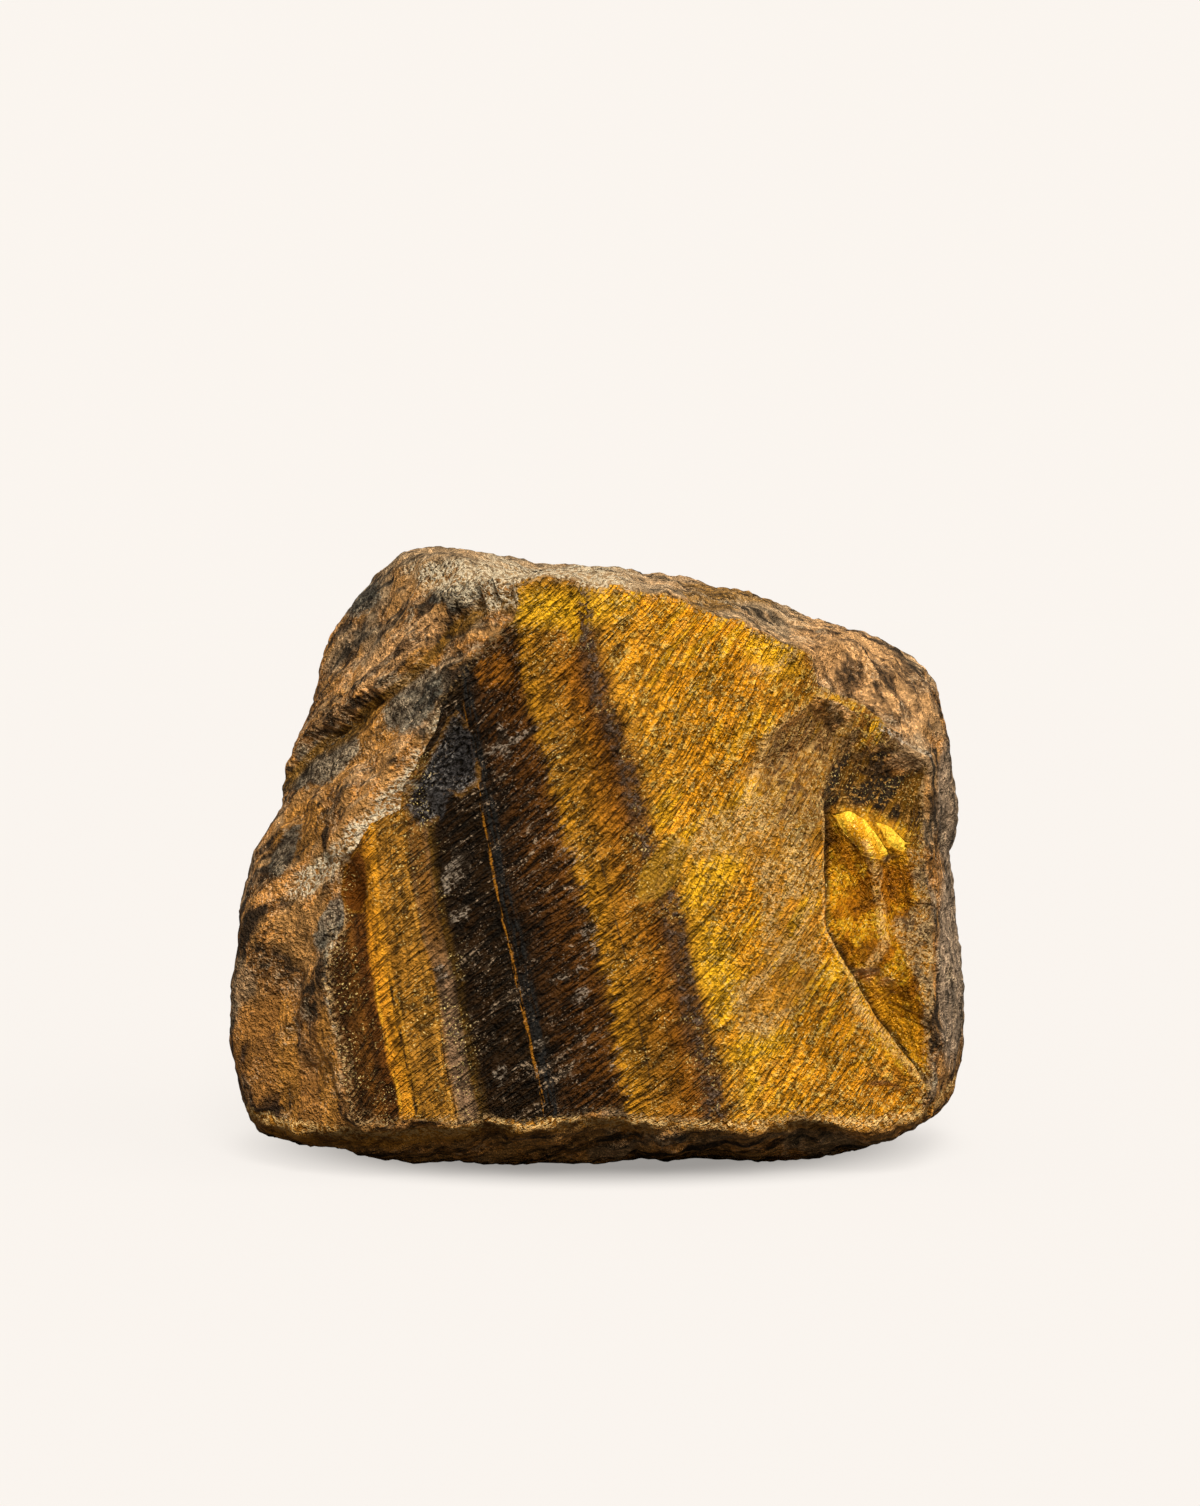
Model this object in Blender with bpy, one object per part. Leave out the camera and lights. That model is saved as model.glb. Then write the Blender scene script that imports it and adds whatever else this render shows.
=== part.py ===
"""Rough tiger's eye: one broken, weathered lump of banded, fibrous quartz, resting on its flat underside.

The lump is one solid. The corners of a finely divided box are moved outward from a core, each one until
it meets the stone's surface. That surface is described by the flat faces the stone broke along, the
outline it shows from the front, the hollows chipped out of it, and the ledges and lumps on its skin.

Lengths are in millimetres while the stone is worked out, and in metres in the model.
The frame: +Z up, the split face looks along -Y, and the origin is under the middle, on the ground.
"""

import bmesh
import bpy
import numpy as np

MM = 0.001

# Overall make of the solid
CORE = np.array([5.0, 4.0, 31.0])       # every part of the surface can be seen from here
BOX_HALF_SIZES = np.array([40.0, 24.0, 32.0])
BOX_CUTS = 63                           # cuts along each edge of the box
REACH_MIN = 4.0                         # the surface lies between these distances from the core
REACH_MAX = 66.0
HALVINGS = 17                           # steps of the search for the surface along each direction
SOLID_TRIANGLES = 9400

# Roundness of the edges between faces
SKIN_ROUNDING = 0.8
FRESH_ROUNDING = 0.25

# The faces that the stone broke or wore along: outward direction, and distance from the origin
SPLIT_FACE = ((0.06, -0.99, 0.09), 23.9)
WORN_FACES = {
    "lower left": ((-0.63, -0.78, 0.04), 36.3),
    "left side": ((-0.93, 0.30, 0.20), 39.8),
    "top left corner": ((-0.80, 0.14, 0.58), 58.0),
    "top": ((0.13, -0.01, 0.99), 63.6),
    "top right": ((0.33, -0.07, 0.94), 62.9),
    "right side": ((0.98, 0.18, 0.05), 42.2),
    "right strip": ((0.93, -0.36, 0.01), 40.0),
    "shoulder": ((0.59, -0.42, 0.68), 58.9),
    "under the front": ((0.02, -0.53, -0.85), 7.2),
    "under the left": ((-0.27, -0.15, -0.95), 8.2),
    "under the right": ((0.32, -0.15, -0.93), 9.4),
    "under the back": ((-0.05, 0.60, -0.80), 7.8),
    "low left": ((-0.66, 0.40, -0.63), 23.5),
    "low right": ((0.66, 0.34, -0.66), 25.5),
}
BACK_FACES = {
    "back left": ((-0.62, 0.76, 0.18), 33.0),
    "back right": ((0.66, 0.74, 0.08), 32.0),
    "back top": ((0.08, 0.74, 0.67), 50.5),
    "back upper left": ((-0.22, 0.95, 0.22), 31.6),
    "back upper right": ((0.34, 0.90, 0.26), 28.6),
    "back low": ((0.05, 0.97, -0.12), 22.0),
}
FLANK_FACE = ((-0.68, -0.55, 0.48), 46.9)
BASE_FACE = ((0.0, 0.0, -1.0), 0.0)

# The outline seen from the front, read on the plane Y = 0 from this place
SEEN_FROM = np.array([0.2, -458.6, 91.7])
OUTLINE_MARGIN = 0.35                   # makes up for the rounding of its meeting with the faces
OUTLINE = [
    (-37.9, 1.3), (-39.2, 5.3), (-40.4, 11.4), (-40.2, 18.2), (-39.7, 22.1), (-39.3, 27.1),
    (-37.7, 32.7), (-34.6, 37.5), (-34.4, 41.8), (-33.1, 45.5), (-31.5, 49.4), (-30.8, 54.3),
    (-29.7, 56.9), (-27.4, 59.2), (-24.5, 63.5), (-21.2, 65.5), (-18.4, 66.0), (-14.1, 65.7),
    (-8.6, 64.8), (-0.9, 63.8), (4.6, 63.7), (9.0, 63.5), (15.6, 61.5), (22.7, 59.1),
    (28.8, 56.9), (33.2, 54.7), (36.1, 52.9), (37.1, 51.3), (37.3, 48.8), (38.2, 45.5),
    (39.6, 42.2), (40.1, 38.3), (39.4, 34.9), (38.3, 32.5), (38.8, 29.4), (39.2, 24.3),
    (39.8, 20.4), (40.2, 15.9), (40.0, 10.3), (39.1, 5.8), (38.0, 3.6), (35.3, 1.5),
    (31.4, -0.4), (25.8, -1.7), (11.3, -2.4), (-10.9, -2.5), (-25.4, -2.4), (-33.2, -0.4),
]


def unit(direction):
    """The direction, made one millimetre long."""
    direction = np.asarray(direction, float)
    return direction / np.linalg.norm(direction)


def smooth_max(values, rounding):
    """The largest of several distances, with the crease between them rounded over."""
    values = np.stack(values)
    top = values.max(axis=0)
    return top + rounding * np.log(np.exp((values - top) / rounding).sum(axis=0))


def step(low, high, value):
    """0 below low, 1 above high, and a smooth rise between them."""
    share = np.clip((value - low) / (high - low), 0, 1)
    return share * share * (3 - 2 * share)


# The lattice of the lumps is turned, so that no line of it runs along the stone's own faces
LATTICE_TURN = np.array([[0.36, 0.48, -0.80], [-0.80, 0.60, 0.0], [0.48, 0.64, 0.60]])
NOISE_GAIN = 3.0                        # brings the heights to about -1 to 1


def corner_numbers(cells, seed):
    """A repeatable number from 0 to 1 for each cell of a lattice of cubes."""
    mixed = cells[..., 0] * 374761393 + cells[..., 1] * 668265263 + cells[..., 2] * 2147483647
    mixed = (mixed + seed * 1274126177) & 0xFFFFFFFF
    mixed = ((mixed ^ (mixed >> 13)) * 1274126177) & 0xFFFFFFFF
    return ((mixed ^ (mixed >> 16)) & 0xFFFFFF) / 0xFFFFFF


def noise(points, size, seed):
    """Smooth lumps from about -1 to 1, as wide as size: slopes at lattice corners, blended between them."""
    scaled = points @ LATTICE_TURN / size
    cells = np.floor(scaled).astype(np.int64)
    offset = scaled - cells
    share = offset ** 3 * (offset * (offset * 6 - 15) + 10)
    total = 0
    for dx in (0, 1):
        for dy in (0, 1):
            for dz in (0, 1):
                corner = np.array([dx, dy, dz])
                slope = [corner_numbers(cells + corner, seed * 3 + axis) - 0.5 for axis in range(3)]
                height = ((offset - corner) * np.stack(slope, axis=1)).sum(axis=1)
                total = total + height * np.abs(1 - corner - share).prod(axis=1)
    return NOISE_GAIN * total


def scallops(points, size, seed):
    """Shallow bowls that meet along sharp ridges: the squared distance to the nearest scattered seed."""
    scaled = points @ LATTICE_TURN / size
    cells = np.floor(scaled).astype(np.int64)
    nearest = np.full(len(points), 9.0)
    for dx in (-1, 0, 1):
        for dy in (-1, 0, 1):
            for dz in (-1, 0, 1):
                cell = cells + np.array([dx, dy, dz])
                spot = np.stack([corner_numbers(cell, seed + i) for i in range(3)], axis=1)
                lean = np.stack([corner_numbers(cell, seed + 3 + i) for i in range(3)], axis=1) - 0.5
                away = scaled - (cell + spot)
                height = (away ** 2).sum(axis=1) + 0.5 * (away * lean).sum(axis=1)
                nearest = np.minimum(nearest, height)
    return nearest


def above_plane(points, face):
    """Height above a flat face, negative inside the stone."""
    direction, distance = face
    return points @ unit(direction) - distance


def outside_outline(points):
    """Distance outside the front outline, along the lines of sight, negative inside it."""
    share = -SEEN_FROM[1] / (points[:, 1] - SEEN_FROM[1])
    x = SEEN_FROM[0] + (points[:, 0] - SEEN_FROM[0]) * share
    z = SEEN_FROM[2] + (points[:, 2] - SEEN_FROM[2]) * share
    corners = np.array(OUTLINE)
    nearest = np.full(len(points), 1e9)
    inside = np.zeros(len(points), bool)
    for (x0, z0), (x1, z1) in zip(corners, np.roll(corners, -1, axis=0)):
        along = np.array([x1 - x0, z1 - z0])
        share = np.clip(((x - x0) * along[0] + (z - z0) * along[1]) / (along @ along), 0, 1)
        nearest = np.minimum(nearest, np.hypot(x - x0 - share * along[0], z - z0 - share * along[1]))
        crosses = (z0 > z) != (z1 > z)
        if z1 != z0:
            inside ^= crosses & (x < x0 + (z - z0) * (x1 - x0) / (z1 - z0))
    return np.where(inside, -nearest, nearest)


def dish(points, centre, half_length, half_width, turn, depth):
    """Depth of a hollow chipped into the front: a bowl with a crisp rim, long along turn, in degrees."""
    x, z = points[:, 0] - centre[0], points[:, 2] - centre[1]
    c, s = np.cos(np.radians(turn)), np.sin(np.radians(turn))
    along, across = (x * c + z * s) / half_length, (z * c - x * s) / half_width
    return depth * np.clip(1 - along ** 2 - across ** 2, 0, None)


def pit(points, walls):
    """Depth of a pit with flat walls. Each wall sinks from a place on its rim, along a turn in degrees,
    at a slope, and the least of their depths counts."""
    depths = []
    for (x, z), turn, slope in walls:
        c, s = np.cos(np.radians(turn)), np.sin(np.radians(turn))
        depths.append(slope * ((points[:, 0] - x) * c + (points[:, 2] - z) * s))
    return np.clip(np.min(depths, axis=0), 0, None)


# Hollows in the split face: centre across and up, half length, half width, turn, depth
HOLLOWS = {
    "long hollow": ((26.9, 31.8), 8.4, 2.9, 111, 1.4),
    "side hollow": ((31.5, 29.2), 6.0, 2.1, 98, 1.8),
    "low hollow": ((31.0, 17.2), 6.4, 3.1, 122, 1.9),
    "corner nick": ((30.6, 9.3), 3.6, 1.5, -12, 0.9),
    "top chip": ((18.4, 55.2), 5.0, 3.1, -28, 0.9),
    "leaf nick": ((-2.2, 59.2), 2.5, 0.9, 75, 1.0),
    "left leaf chip": ((-26.0, 31.3), 4.4, 1.7, 108, 1.6),
    "upper dark chip": ((-15.9, 44.9), 5.0, 3.1, 65, 1.2),
    "lower dark chip": ((-20.1, 39.9), 3.5, 2.7, 60, 1.3),
    "brown chip": ((-9.8, 53.4), 5.0, 3.1, 80, 1.0),
    "flake scar": ((6.0, 32.6), 4.0, 2.2, 52, 0.8),
}

# Swellings on the split face: the same figures, with a height
SWELLINGS = {
    "tan hump": ((16.8, 33.0), 11.5, 7.0, 78, 1.5),
    "gold shoulder": ((11.0, 51.0), 13.0, 8.0, 60, 0.7),
    "lower gold": ((20.0, 13.0), 10.0, 7.0, 60, 0.6),
}

# Pits in the split face: for each wall a place on its rim, across and up, the way it sinks, and its slope
PITS = {
    "undercut": [
        ((30.0, 47.9), -117.5, 0.9), ((27.5, 37.2), 84, 0.7),
        ((35.4, 40.8), 165, 1.3), ((20.5, 44.0), 0, 0.5),
    ],
    "valley under the ridge": [
        ((20.5, 49.7), -57, 0.45), ((19.0, 40.5), 90, 0.35),
        ((14.4, 41.9), 0, 0.5), ((31.0, 45.0), 180, 0.4),
    ],
}

# The skin of the shoulder reaches down here over the split face
LOWER_SHOULDER = [((30.0, 47.9), 62.5, 1.0), ((22.6, 54.0), 0, 1.5)]

# The crack, across and up, from its foot to its head: right of it the split face steps back
CRACK = [(36.0, 9.0), (34.6, 10.8), (30.3, 16.4), (27.4, 21.2), (26.0, 23.8), (24.3, 27.0), (24.2, 40.8)]
CRACK_STEP = 1.2
CRACK_WIDTH = 0.6
CRACK_HEAD = (37.0, 41.5)               # the step fades out between these heights
RIM = (32.5, 35.0)                      # and between these places across, toward the rim on the right

# Broad chips on the back, placed as seen from the front
BACK_HOLLOWS = {
    "broad chip": ((-11.0, 41.0), 16.0, 9.0, 35, 3.4),
    "low chip": ((14.0, 17.0), 12.0, 8.0, -25, 3.0),
    "side chip": ((22.0, 43.0), 9.0, 5.5, 60, 2.4),
}

# The ledge across the left flank: places along its foot, across and up. The slab above it stands proud
LEDGE = [
    (-36.0, 39.0), (-33.5, 41.2), (-31.3, 43.8), (-28.5, 46.1), (-25.9, 48.1), (-23.5, 50.2),
    (-21.3, 52.2), (-18.0, 55.2), (-15.3, 58.6), (-11.0, 61.5),
]
LEDGE_HEIGHT = 2.2
LEDGE_WIDTH = 1.8                       # from the ledge's foot to its edge
LEDGE_SINKS = (2.0, 9.0)                # above its edge the slab sinks to half its height over this range
LEDGE_WANDER = 0.8


def relief_of(points, hollows):
    """Height that a group of hollows gives: each one takes its depth away."""
    return -sum(dish(points, *hollow) for hollow in hollows.values())


def split_relief(points):
    """Height of the split face above its plane."""
    height = relief_of(points, HOLLOWS) - relief_of(points, SWELLINGS)
    height = height - sum(pit(points, walls) for walls in PITS.values()) - pit(points, LOWER_SHOULDER)
    across, up = np.array(CRACK).T
    beyond = points[:, 0] - np.interp(points[:, 2], up, across)
    fading = (1 - step(*CRACK_HEAD, points[:, 2])) * (1 - step(*RIM, points[:, 0]))
    return height - CRACK_STEP * step(0, CRACK_WIDTH, beyond) * fading


def flank_relief(points):
    """Height of the left flank above its plane: up from the ledge's foot, sinking again above its edge."""
    across, up = np.array(LEDGE).T
    over = points[:, 2] - np.interp(points[:, 0], across, up) - LEDGE_WANDER * noise(points, 5, 12)
    return LEDGE_HEIGHT * step(0, LEDGE_WIDTH, over) * (1 - 0.5 * step(*LEDGE_SINKS, over))


def field(points, skin, fresh):
    """Negative inside the stone, positive outside. Its weathered skin and its split face are raised."""
    worn = [above_plane(points, face) - skin for face in WORN_FACES.values()]
    chipped = relief_of(points, BACK_HOLLOWS)
    worn += [above_plane(points, face) - skin - chipped for face in BACK_FACES.values()]
    worn.append(above_plane(points, FLANK_FACE) - skin - flank_relief(points))
    worn.append(outside_outline(points) - OUTLINE_MARGIN)
    split = above_plane(points, SPLIT_FACE) - split_relief(points) - fresh
    base = above_plane(points, BASE_FACE)
    return smooth_max([smooth_max(worn, SKIN_ROUNDING), split, base], FRESH_ROUNDING)


def surface(directions, skin=0.0, fresh=0.0):
    """Where each direction from the core meets the surface: the distance is found by halving."""
    near = np.full(len(directions), REACH_MIN)
    far = np.full(len(directions), REACH_MAX)
    for _ in range(HALVINGS):
        middle = (near + far) / 2
        inside = field(CORE + directions * middle[:, None], skin, fresh) < 0
        near = np.where(inside, middle, near)
        far = np.where(inside, far, middle)
    return CORE + directions * near[:, None]


def terraces(values, count):
    """Values from -1 to 1 gathered onto steps, count of them each way, with slopes between them."""
    scaled = values * count
    floor = np.floor(scaled)
    return (floor + step(0.25, 0.75, scaled - floor)) / count


def long_along(direction, share):
    """A matrix that shortens lengths along a direction, so that lumps come out long that way."""
    direction = unit(direction)
    return np.eye(3) - (1 - share) * np.outer(direction, direction)


FIBRES = long_along((0.77, 0.0, 0.64), 0.3)     # fibres run up to the right across the split face
RIDGES = long_along((0.64, 0.0, 0.77), 0.4)     # and the ridges of the skin run more steeply
BANDS = long_along((-0.20, 0.0, 0.98), 0.15)    # bands run down to the right, and from front to back
BANDS = BANDS @ long_along((0.0, 1.0, 0.0), 0.3)


def skin_lumps(points):
    """Height of the weathered skin: broad lumps, steps along the bands, ridges, scallops and pits."""
    along_ridges = points @ RIDGES
    height = 0.8 * noise(points, 13, 1) + 1.1 * terraces(noise(points @ BANDS, 6, 7), 2)
    height = height + 0.9 * terraces(noise(along_ridges, 7, 2), 2)
    height = height + 1.2 * (scallops(along_ridges, 7, 3) - 0.35)
    return height + 0.3 * noise(points, 2.4, 9)


def fresh_lumps(points):
    """Height of the split face: low swells and splintery steps that run with the fibres."""
    along_fibres = points @ FIBRES
    height = 0.25 * noise(along_fibres, 8, 4) + 0.35 * terraces(noise(along_fibres, 5, 6), 2)
    return height + 0.4 * (scallops(along_fibres, 5, 5) - 0.35)


def stone_material():
    """Golden brown stone with a silky lustre."""
    material = bpy.data.materials.new("tigers_eye")
    material.use_nodes = True
    shader = material.node_tree.nodes["Principled BSDF"]
    shader.inputs["Base Color"].default_value = (0.32, 0.15, 0.03, 1)
    shader.inputs["Roughness"].default_value = 0.45
    shader.inputs["Metallic"].default_value = 0.0
    return material


def make_stone(collection):
    """The stone: a finely divided box moved out to the surface, then thinned where it is flat."""
    mesh = bpy.data.meshes.new("stone")
    box = bmesh.new()
    bmesh.ops.create_cube(box, size=2)
    bmesh.ops.subdivide_edges(box, edges=box.edges, cuts=BOX_CUTS, use_grid_fill=True)
    directions = np.array([corner.co[:] for corner in box.verts]) * BOX_HALF_SIZES
    directions /= np.linalg.norm(directions, axis=1, keepdims=True)
    smooth = surface(directions)
    points = surface(directions, skin_lumps(smooth), fresh_lumps(smooth))
    for corner, point in zip(box.verts, points):
        corner.co = point * MM
    bmesh.ops.triangulate(box, faces=box.faces)
    box.to_mesh(mesh)
    box.free()

    stone = bpy.data.objects.new("stone", mesh)
    collection.objects.link(stone)
    mesh.materials.append(stone_material())
    thin = stone.modifiers.new("Thin out flat places", "DECIMATE")
    thin.ratio = SOLID_TRIANGLES / len(mesh.polygons)
    return stone


def main():
    for old in list(bpy.data.objects):
        bpy.data.objects.remove(old)
    collection = bpy.data.collections.new("rough_tigers_eye")
    bpy.context.scene.collection.children.link(collection)
    make_stone(collection)


main()
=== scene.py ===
# %% [markdown]
# # Rough tiger's eye
#
# This lesson dresses one solid, a broken lump of tiger's eye, so that it looks like the real stone. Tiger's
# eye is quartz that has grown through bundles of mineral fibre. It breaks to a silky face with gold and
# dark bands, and where it has lain in the ground it has a dull brown skin.
#
# We load the solid first. It stays as the shape that things bump into, and everything here fits over it.

# %% Load the solid
import math

import bpy
import numpy as np
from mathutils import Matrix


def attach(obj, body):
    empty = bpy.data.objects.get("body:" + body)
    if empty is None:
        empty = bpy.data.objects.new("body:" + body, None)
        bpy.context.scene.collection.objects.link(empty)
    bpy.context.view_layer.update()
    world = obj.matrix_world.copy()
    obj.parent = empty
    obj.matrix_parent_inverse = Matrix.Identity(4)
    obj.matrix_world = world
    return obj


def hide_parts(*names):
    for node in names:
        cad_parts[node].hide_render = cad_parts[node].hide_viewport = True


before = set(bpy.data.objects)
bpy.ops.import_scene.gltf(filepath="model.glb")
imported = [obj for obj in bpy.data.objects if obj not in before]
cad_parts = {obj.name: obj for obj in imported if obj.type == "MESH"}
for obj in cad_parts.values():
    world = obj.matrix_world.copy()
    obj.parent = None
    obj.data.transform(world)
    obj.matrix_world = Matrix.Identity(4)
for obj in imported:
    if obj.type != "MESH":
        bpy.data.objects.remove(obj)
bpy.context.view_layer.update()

MM = 0.001

# %% [markdown]
# ## Camera
#
# The stone is seen from a little above its front, with a long lens, so its sides hardly converge. The
# camera goes where the picture was taken from, 46 cm in front of the stone's middle, and looks down by
# six degrees.

# %% Camera
CAMERA_PLACE = (0.0002, -0.4586, 0.0917)
CAMERA_DOWN = math.radians(6.0)
LENS_MM = 100.0
NEAREST_SEEN = 0.01

camera_data = bpy.data.cameras.new("camera")
camera_data.lens = LENS_MM
camera_data.clip_start = NEAREST_SEEN
camera = bpy.data.objects.new("camera", camera_data)
camera.location = CAMERA_PLACE
camera.rotation_euler = (math.radians(90) - CAMERA_DOWN, 0, 0)
bpy.context.scene.collection.objects.link(camera)
bpy.context.scene.camera = camera
bpy.context.scene.view_settings.view_transform = "Standard"
print("the camera stands", round(-CAMERA_PLACE[1] * 100), "cm in front of the stone's middle")

# %% [markdown]
# ## Lumps and noise
#
# A broken stone has lumps of every size. Each one here is a formula that gives a height for any point in
# space. Because a formula has no seams, the same one serves every side of the stone.


# %% Lumps and noise
def unit(direction):
    """The direction, made one long."""
    direction = np.asarray(direction, float)
    return direction / np.linalg.norm(direction)


def step(low, high, value):
    """0 below low, 1 above high, and between them 3s^2 - 2s^3, where s is the share of the way."""
    share = np.clip((value - low) / (high - low), 0, 1)
    return share * share * (3 - 2 * share)


def smooth_max(values, rounding):
    """The largest of several distances, its crease rounded: r times the log of the sum of e^(v / r)."""
    values = np.stack(values)
    top = values.max(axis=0)
    return top + rounding * np.log(np.exp((values - top) / rounding).sum(axis=0))


# The lattice of the lumps is turned, so that no line of it runs along the stone's own faces
LATTICE_TURN = np.array([[0.36, 0.48, -0.80], [-0.80, 0.60, 0.0], [0.48, 0.64, 0.60]])
NOISE_GAIN = 3.0


def corner_numbers(cells, seed):
    """A repeatable number from 0 to 1 for each lattice corner, from whole-number multiplying and mixing."""
    mixed = cells[..., 0] * 374761393 + cells[..., 1] * 668265263 + cells[..., 2] * 2147483647
    mixed = (mixed + seed * 1274126177) & 0xFFFFFFFF
    mixed = ((mixed ^ (mixed >> 13)) * 1274126177) & 0xFFFFFFFF
    return ((mixed ^ (mixed >> 16)) & 0xFFFFFF) / 0xFFFFFF


def noise(points, size, seed):
    """Smooth lumps from about -1 to 1, as wide as size: slopes at lattice corners, blended between them."""
    scaled = points @ LATTICE_TURN / size
    cells = np.floor(scaled).astype(np.int64)
    offset = scaled - cells
    share = offset ** 3 * (offset * (offset * 6 - 15) + 10)
    total = 0
    for corner in np.ndindex(2, 2, 2):
        slope = [corner_numbers(cells + corner, seed * 3 + axis) - 0.5 for axis in range(3)]
        height = ((offset - corner) * np.stack(slope, axis=1)).sum(axis=1)
        total = total + height * np.abs(1 - np.array(corner) - share).prod(axis=1)
    return NOISE_GAIN * total


def scallops(points, size, seed):
    """Shallow bowls that meet along sharp ridges: the squared distance to the nearest scattered seed."""
    scaled = points @ LATTICE_TURN / size
    cells = np.floor(scaled).astype(np.int64)
    nearest = np.full(len(points), 9.0)
    for shift in np.ndindex(3, 3, 3):
        cell = cells + np.array(shift) - 1
        spot = np.stack([corner_numbers(cell, seed + i) for i in range(3)], axis=1)
        lean = np.stack([corner_numbers(cell, seed + 3 + i) for i in range(3)], axis=1) - 0.5
        away = scaled - (cell + spot)
        height = (away ** 2).sum(axis=1) + 0.5 * (away * lean).sum(axis=1)
        nearest = np.minimum(nearest, height)
    return nearest


def terraces(values, count):
    """Values from -1 to 1 gathered onto steps, count of them each way, with slopes between them."""
    scaled = values * count
    floor = np.floor(scaled)
    return (floor + step(0.25, 0.75, scaled - floor)) / count


def long_along(direction, share):
    """A matrix that shortens lengths along a direction, so that lumps come out long that way."""
    direction = unit(direction)
    return np.eye(3) - (1 - share) * np.outer(direction, direction)


print("noise at the middle of the stone:", noise(np.array([[0.0, 0.0, 30.0]]), 10, 1).round(2))

# %% [markdown]
# ## The faces of the lump
#
# The stone broke along one flat face at the front and wore along several rough ones. A flat face needs
# only a direction and a distance. The stone is what lies behind all of them, and inside the outline that
# it shows from the front. Lengths are in millimetres until the mesh is made.

# %% The faces of the lump
SKIN_ROUNDING = 0.8
FRESH_ROUNDING = 0.25

SPLIT_FACE = ((0.06, -0.99, 0.09), 23.9)
WORN_FACES = {
    "lower left": ((-0.63, -0.78, 0.04), 36.3),
    "left side": ((-0.93, 0.30, 0.20), 39.8),
    "top left corner": ((-0.80, 0.14, 0.58), 58.0),
    "top": ((0.13, -0.01, 0.99), 63.6),
    "top right": ((0.33, -0.07, 0.94), 62.9),
    "right side": ((0.98, 0.18, 0.05), 42.2),
    "right strip": ((0.93, -0.36, 0.01), 40.0),
    "shoulder": ((0.59, -0.42, 0.68), 58.9),
    "under the front": ((0.02, -0.53, -0.85), 7.2),
    "under the left": ((-0.27, -0.15, -0.95), 8.2),
    "under the right": ((0.32, -0.15, -0.93), 9.4),
    "under the back": ((-0.05, 0.60, -0.80), 7.8),
    "low left": ((-0.66, 0.40, -0.63), 23.5),
    "low right": ((0.66, 0.34, -0.66), 25.5),
}
BACK_FACES = {
    "back left": ((-0.62, 0.76, 0.18), 33.0),
    "back right": ((0.66, 0.74, 0.08), 32.0),
    "back top": ((0.08, 0.74, 0.67), 50.5),
    "back upper left": ((-0.22, 0.95, 0.22), 31.6),
    "back upper right": ((0.34, 0.90, 0.26), 28.6),
    "back low": ((0.05, 0.97, -0.12), 22.0),
}
FLANK_FACE = ((-0.68, -0.55, 0.48), 46.9)
BASE_FACE = ((0.0, 0.0, -1.0), 0.0)

SEEN_FROM = np.array([0.2, -458.6, 91.7])
OUTLINE_MARGIN = 0.35
OUTLINE = [
    (-37.9, 1.3), (-39.2, 5.3), (-40.4, 11.4), (-40.2, 18.2), (-39.7, 22.1), (-39.3, 27.1),
    (-37.7, 32.7), (-34.6, 37.5), (-34.4, 41.8), (-33.1, 45.5), (-31.5, 49.4), (-30.8, 54.3),
    (-29.7, 56.9), (-27.4, 59.2), (-24.5, 63.5), (-21.2, 65.5), (-18.4, 66.0), (-14.1, 65.7),
    (-8.6, 64.8), (-0.9, 63.8), (4.6, 63.7), (9.0, 63.5), (15.6, 61.5), (22.7, 59.1),
    (28.8, 56.9), (33.2, 54.7), (36.1, 52.9), (37.1, 51.3), (37.3, 48.8), (38.2, 45.5),
    (39.6, 42.2), (40.1, 38.3), (39.4, 34.9), (38.3, 32.5), (38.8, 29.4), (39.2, 24.3),
    (39.8, 20.4), (40.2, 15.9), (40.0, 10.3), (39.1, 5.8), (38.0, 3.6), (35.3, 1.5),
    (31.4, -0.4), (25.8, -1.7), (11.3, -2.4), (-10.9, -2.5), (-25.4, -2.4), (-33.2, -0.4),
]
OUTLINE_MIDDLE = np.array([1.0, 30.0])


def outline_table(count=40):
    """Bearing and distance of the outline from its middle, with count points put in along each side."""
    corners = np.array(OUTLINE) - OUTLINE_MIDDLE
    ahead = np.roll(corners, -1, axis=0)
    shares = np.arange(count)[None, :, None] / count
    places = (corners[:, None] * (1 - shares) + ahead[:, None] * shares).reshape(-1, 2)
    bearings = np.arctan2(places[:, 1], places[:, 0])
    order = np.argsort(bearings)
    return bearings[order], np.hypot(*places.T)[order]


BEARINGS, DISTANCES = outline_table()


def above_plane(points, face):
    """Height above a flat face: the point dotted with the face's direction, less its distance."""
    direction, distance = face
    return points @ unit(direction) - distance


def outside_outline(points):
    """How far a point lies outside the front outline, once it is slid along its line of sight to Y = 0."""
    share = -SEEN_FROM[1] / (points[:, 1] - SEEN_FROM[1])
    x = SEEN_FROM[0] + (points[:, 0] - SEEN_FROM[0]) * share - OUTLINE_MIDDLE[0]
    z = SEEN_FROM[2] + (points[:, 2] - SEEN_FROM[2]) * share - OUTLINE_MIDDLE[1]
    return np.hypot(x, z) - np.interp(np.arctan2(z, x), BEARINGS, DISTANCES, period=2 * np.pi)


print(len(WORN_FACES) + len(BACK_FACES) + 3, "faces and an outline of", len(OUTLINE), "corners")

# %% [markdown]
# ## Hollows, swellings and ledges
#
# Flakes have split away from the front and left shallow bowls with crisp rims. A crack runs down the
# right of the face, and the stone steps back beyond it. A slab stands proud across the left flank.


# %% Hollows, swellings and ledges
def turned(points, centre, turn):
    """Lengths from a centre along and across a turn in degrees, as seen from the front."""
    x, z = points[:, 0] - centre[0], points[:, 2] - centre[1]
    c, s = math.cos(math.radians(turn)), math.sin(math.radians(turn))
    return x * c + z * s, z * c - x * s


def dish(points, centre, half_length, half_width, turn, depth):
    """A bowl with a crisp rim: its depth times 1 - a^2 - b^2, with a and b the shares along and across."""
    along, across = turned(points, centre, turn)
    return depth * np.clip(1 - (along / half_length) ** 2 - (across / half_width) ** 2, 0, None)


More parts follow.
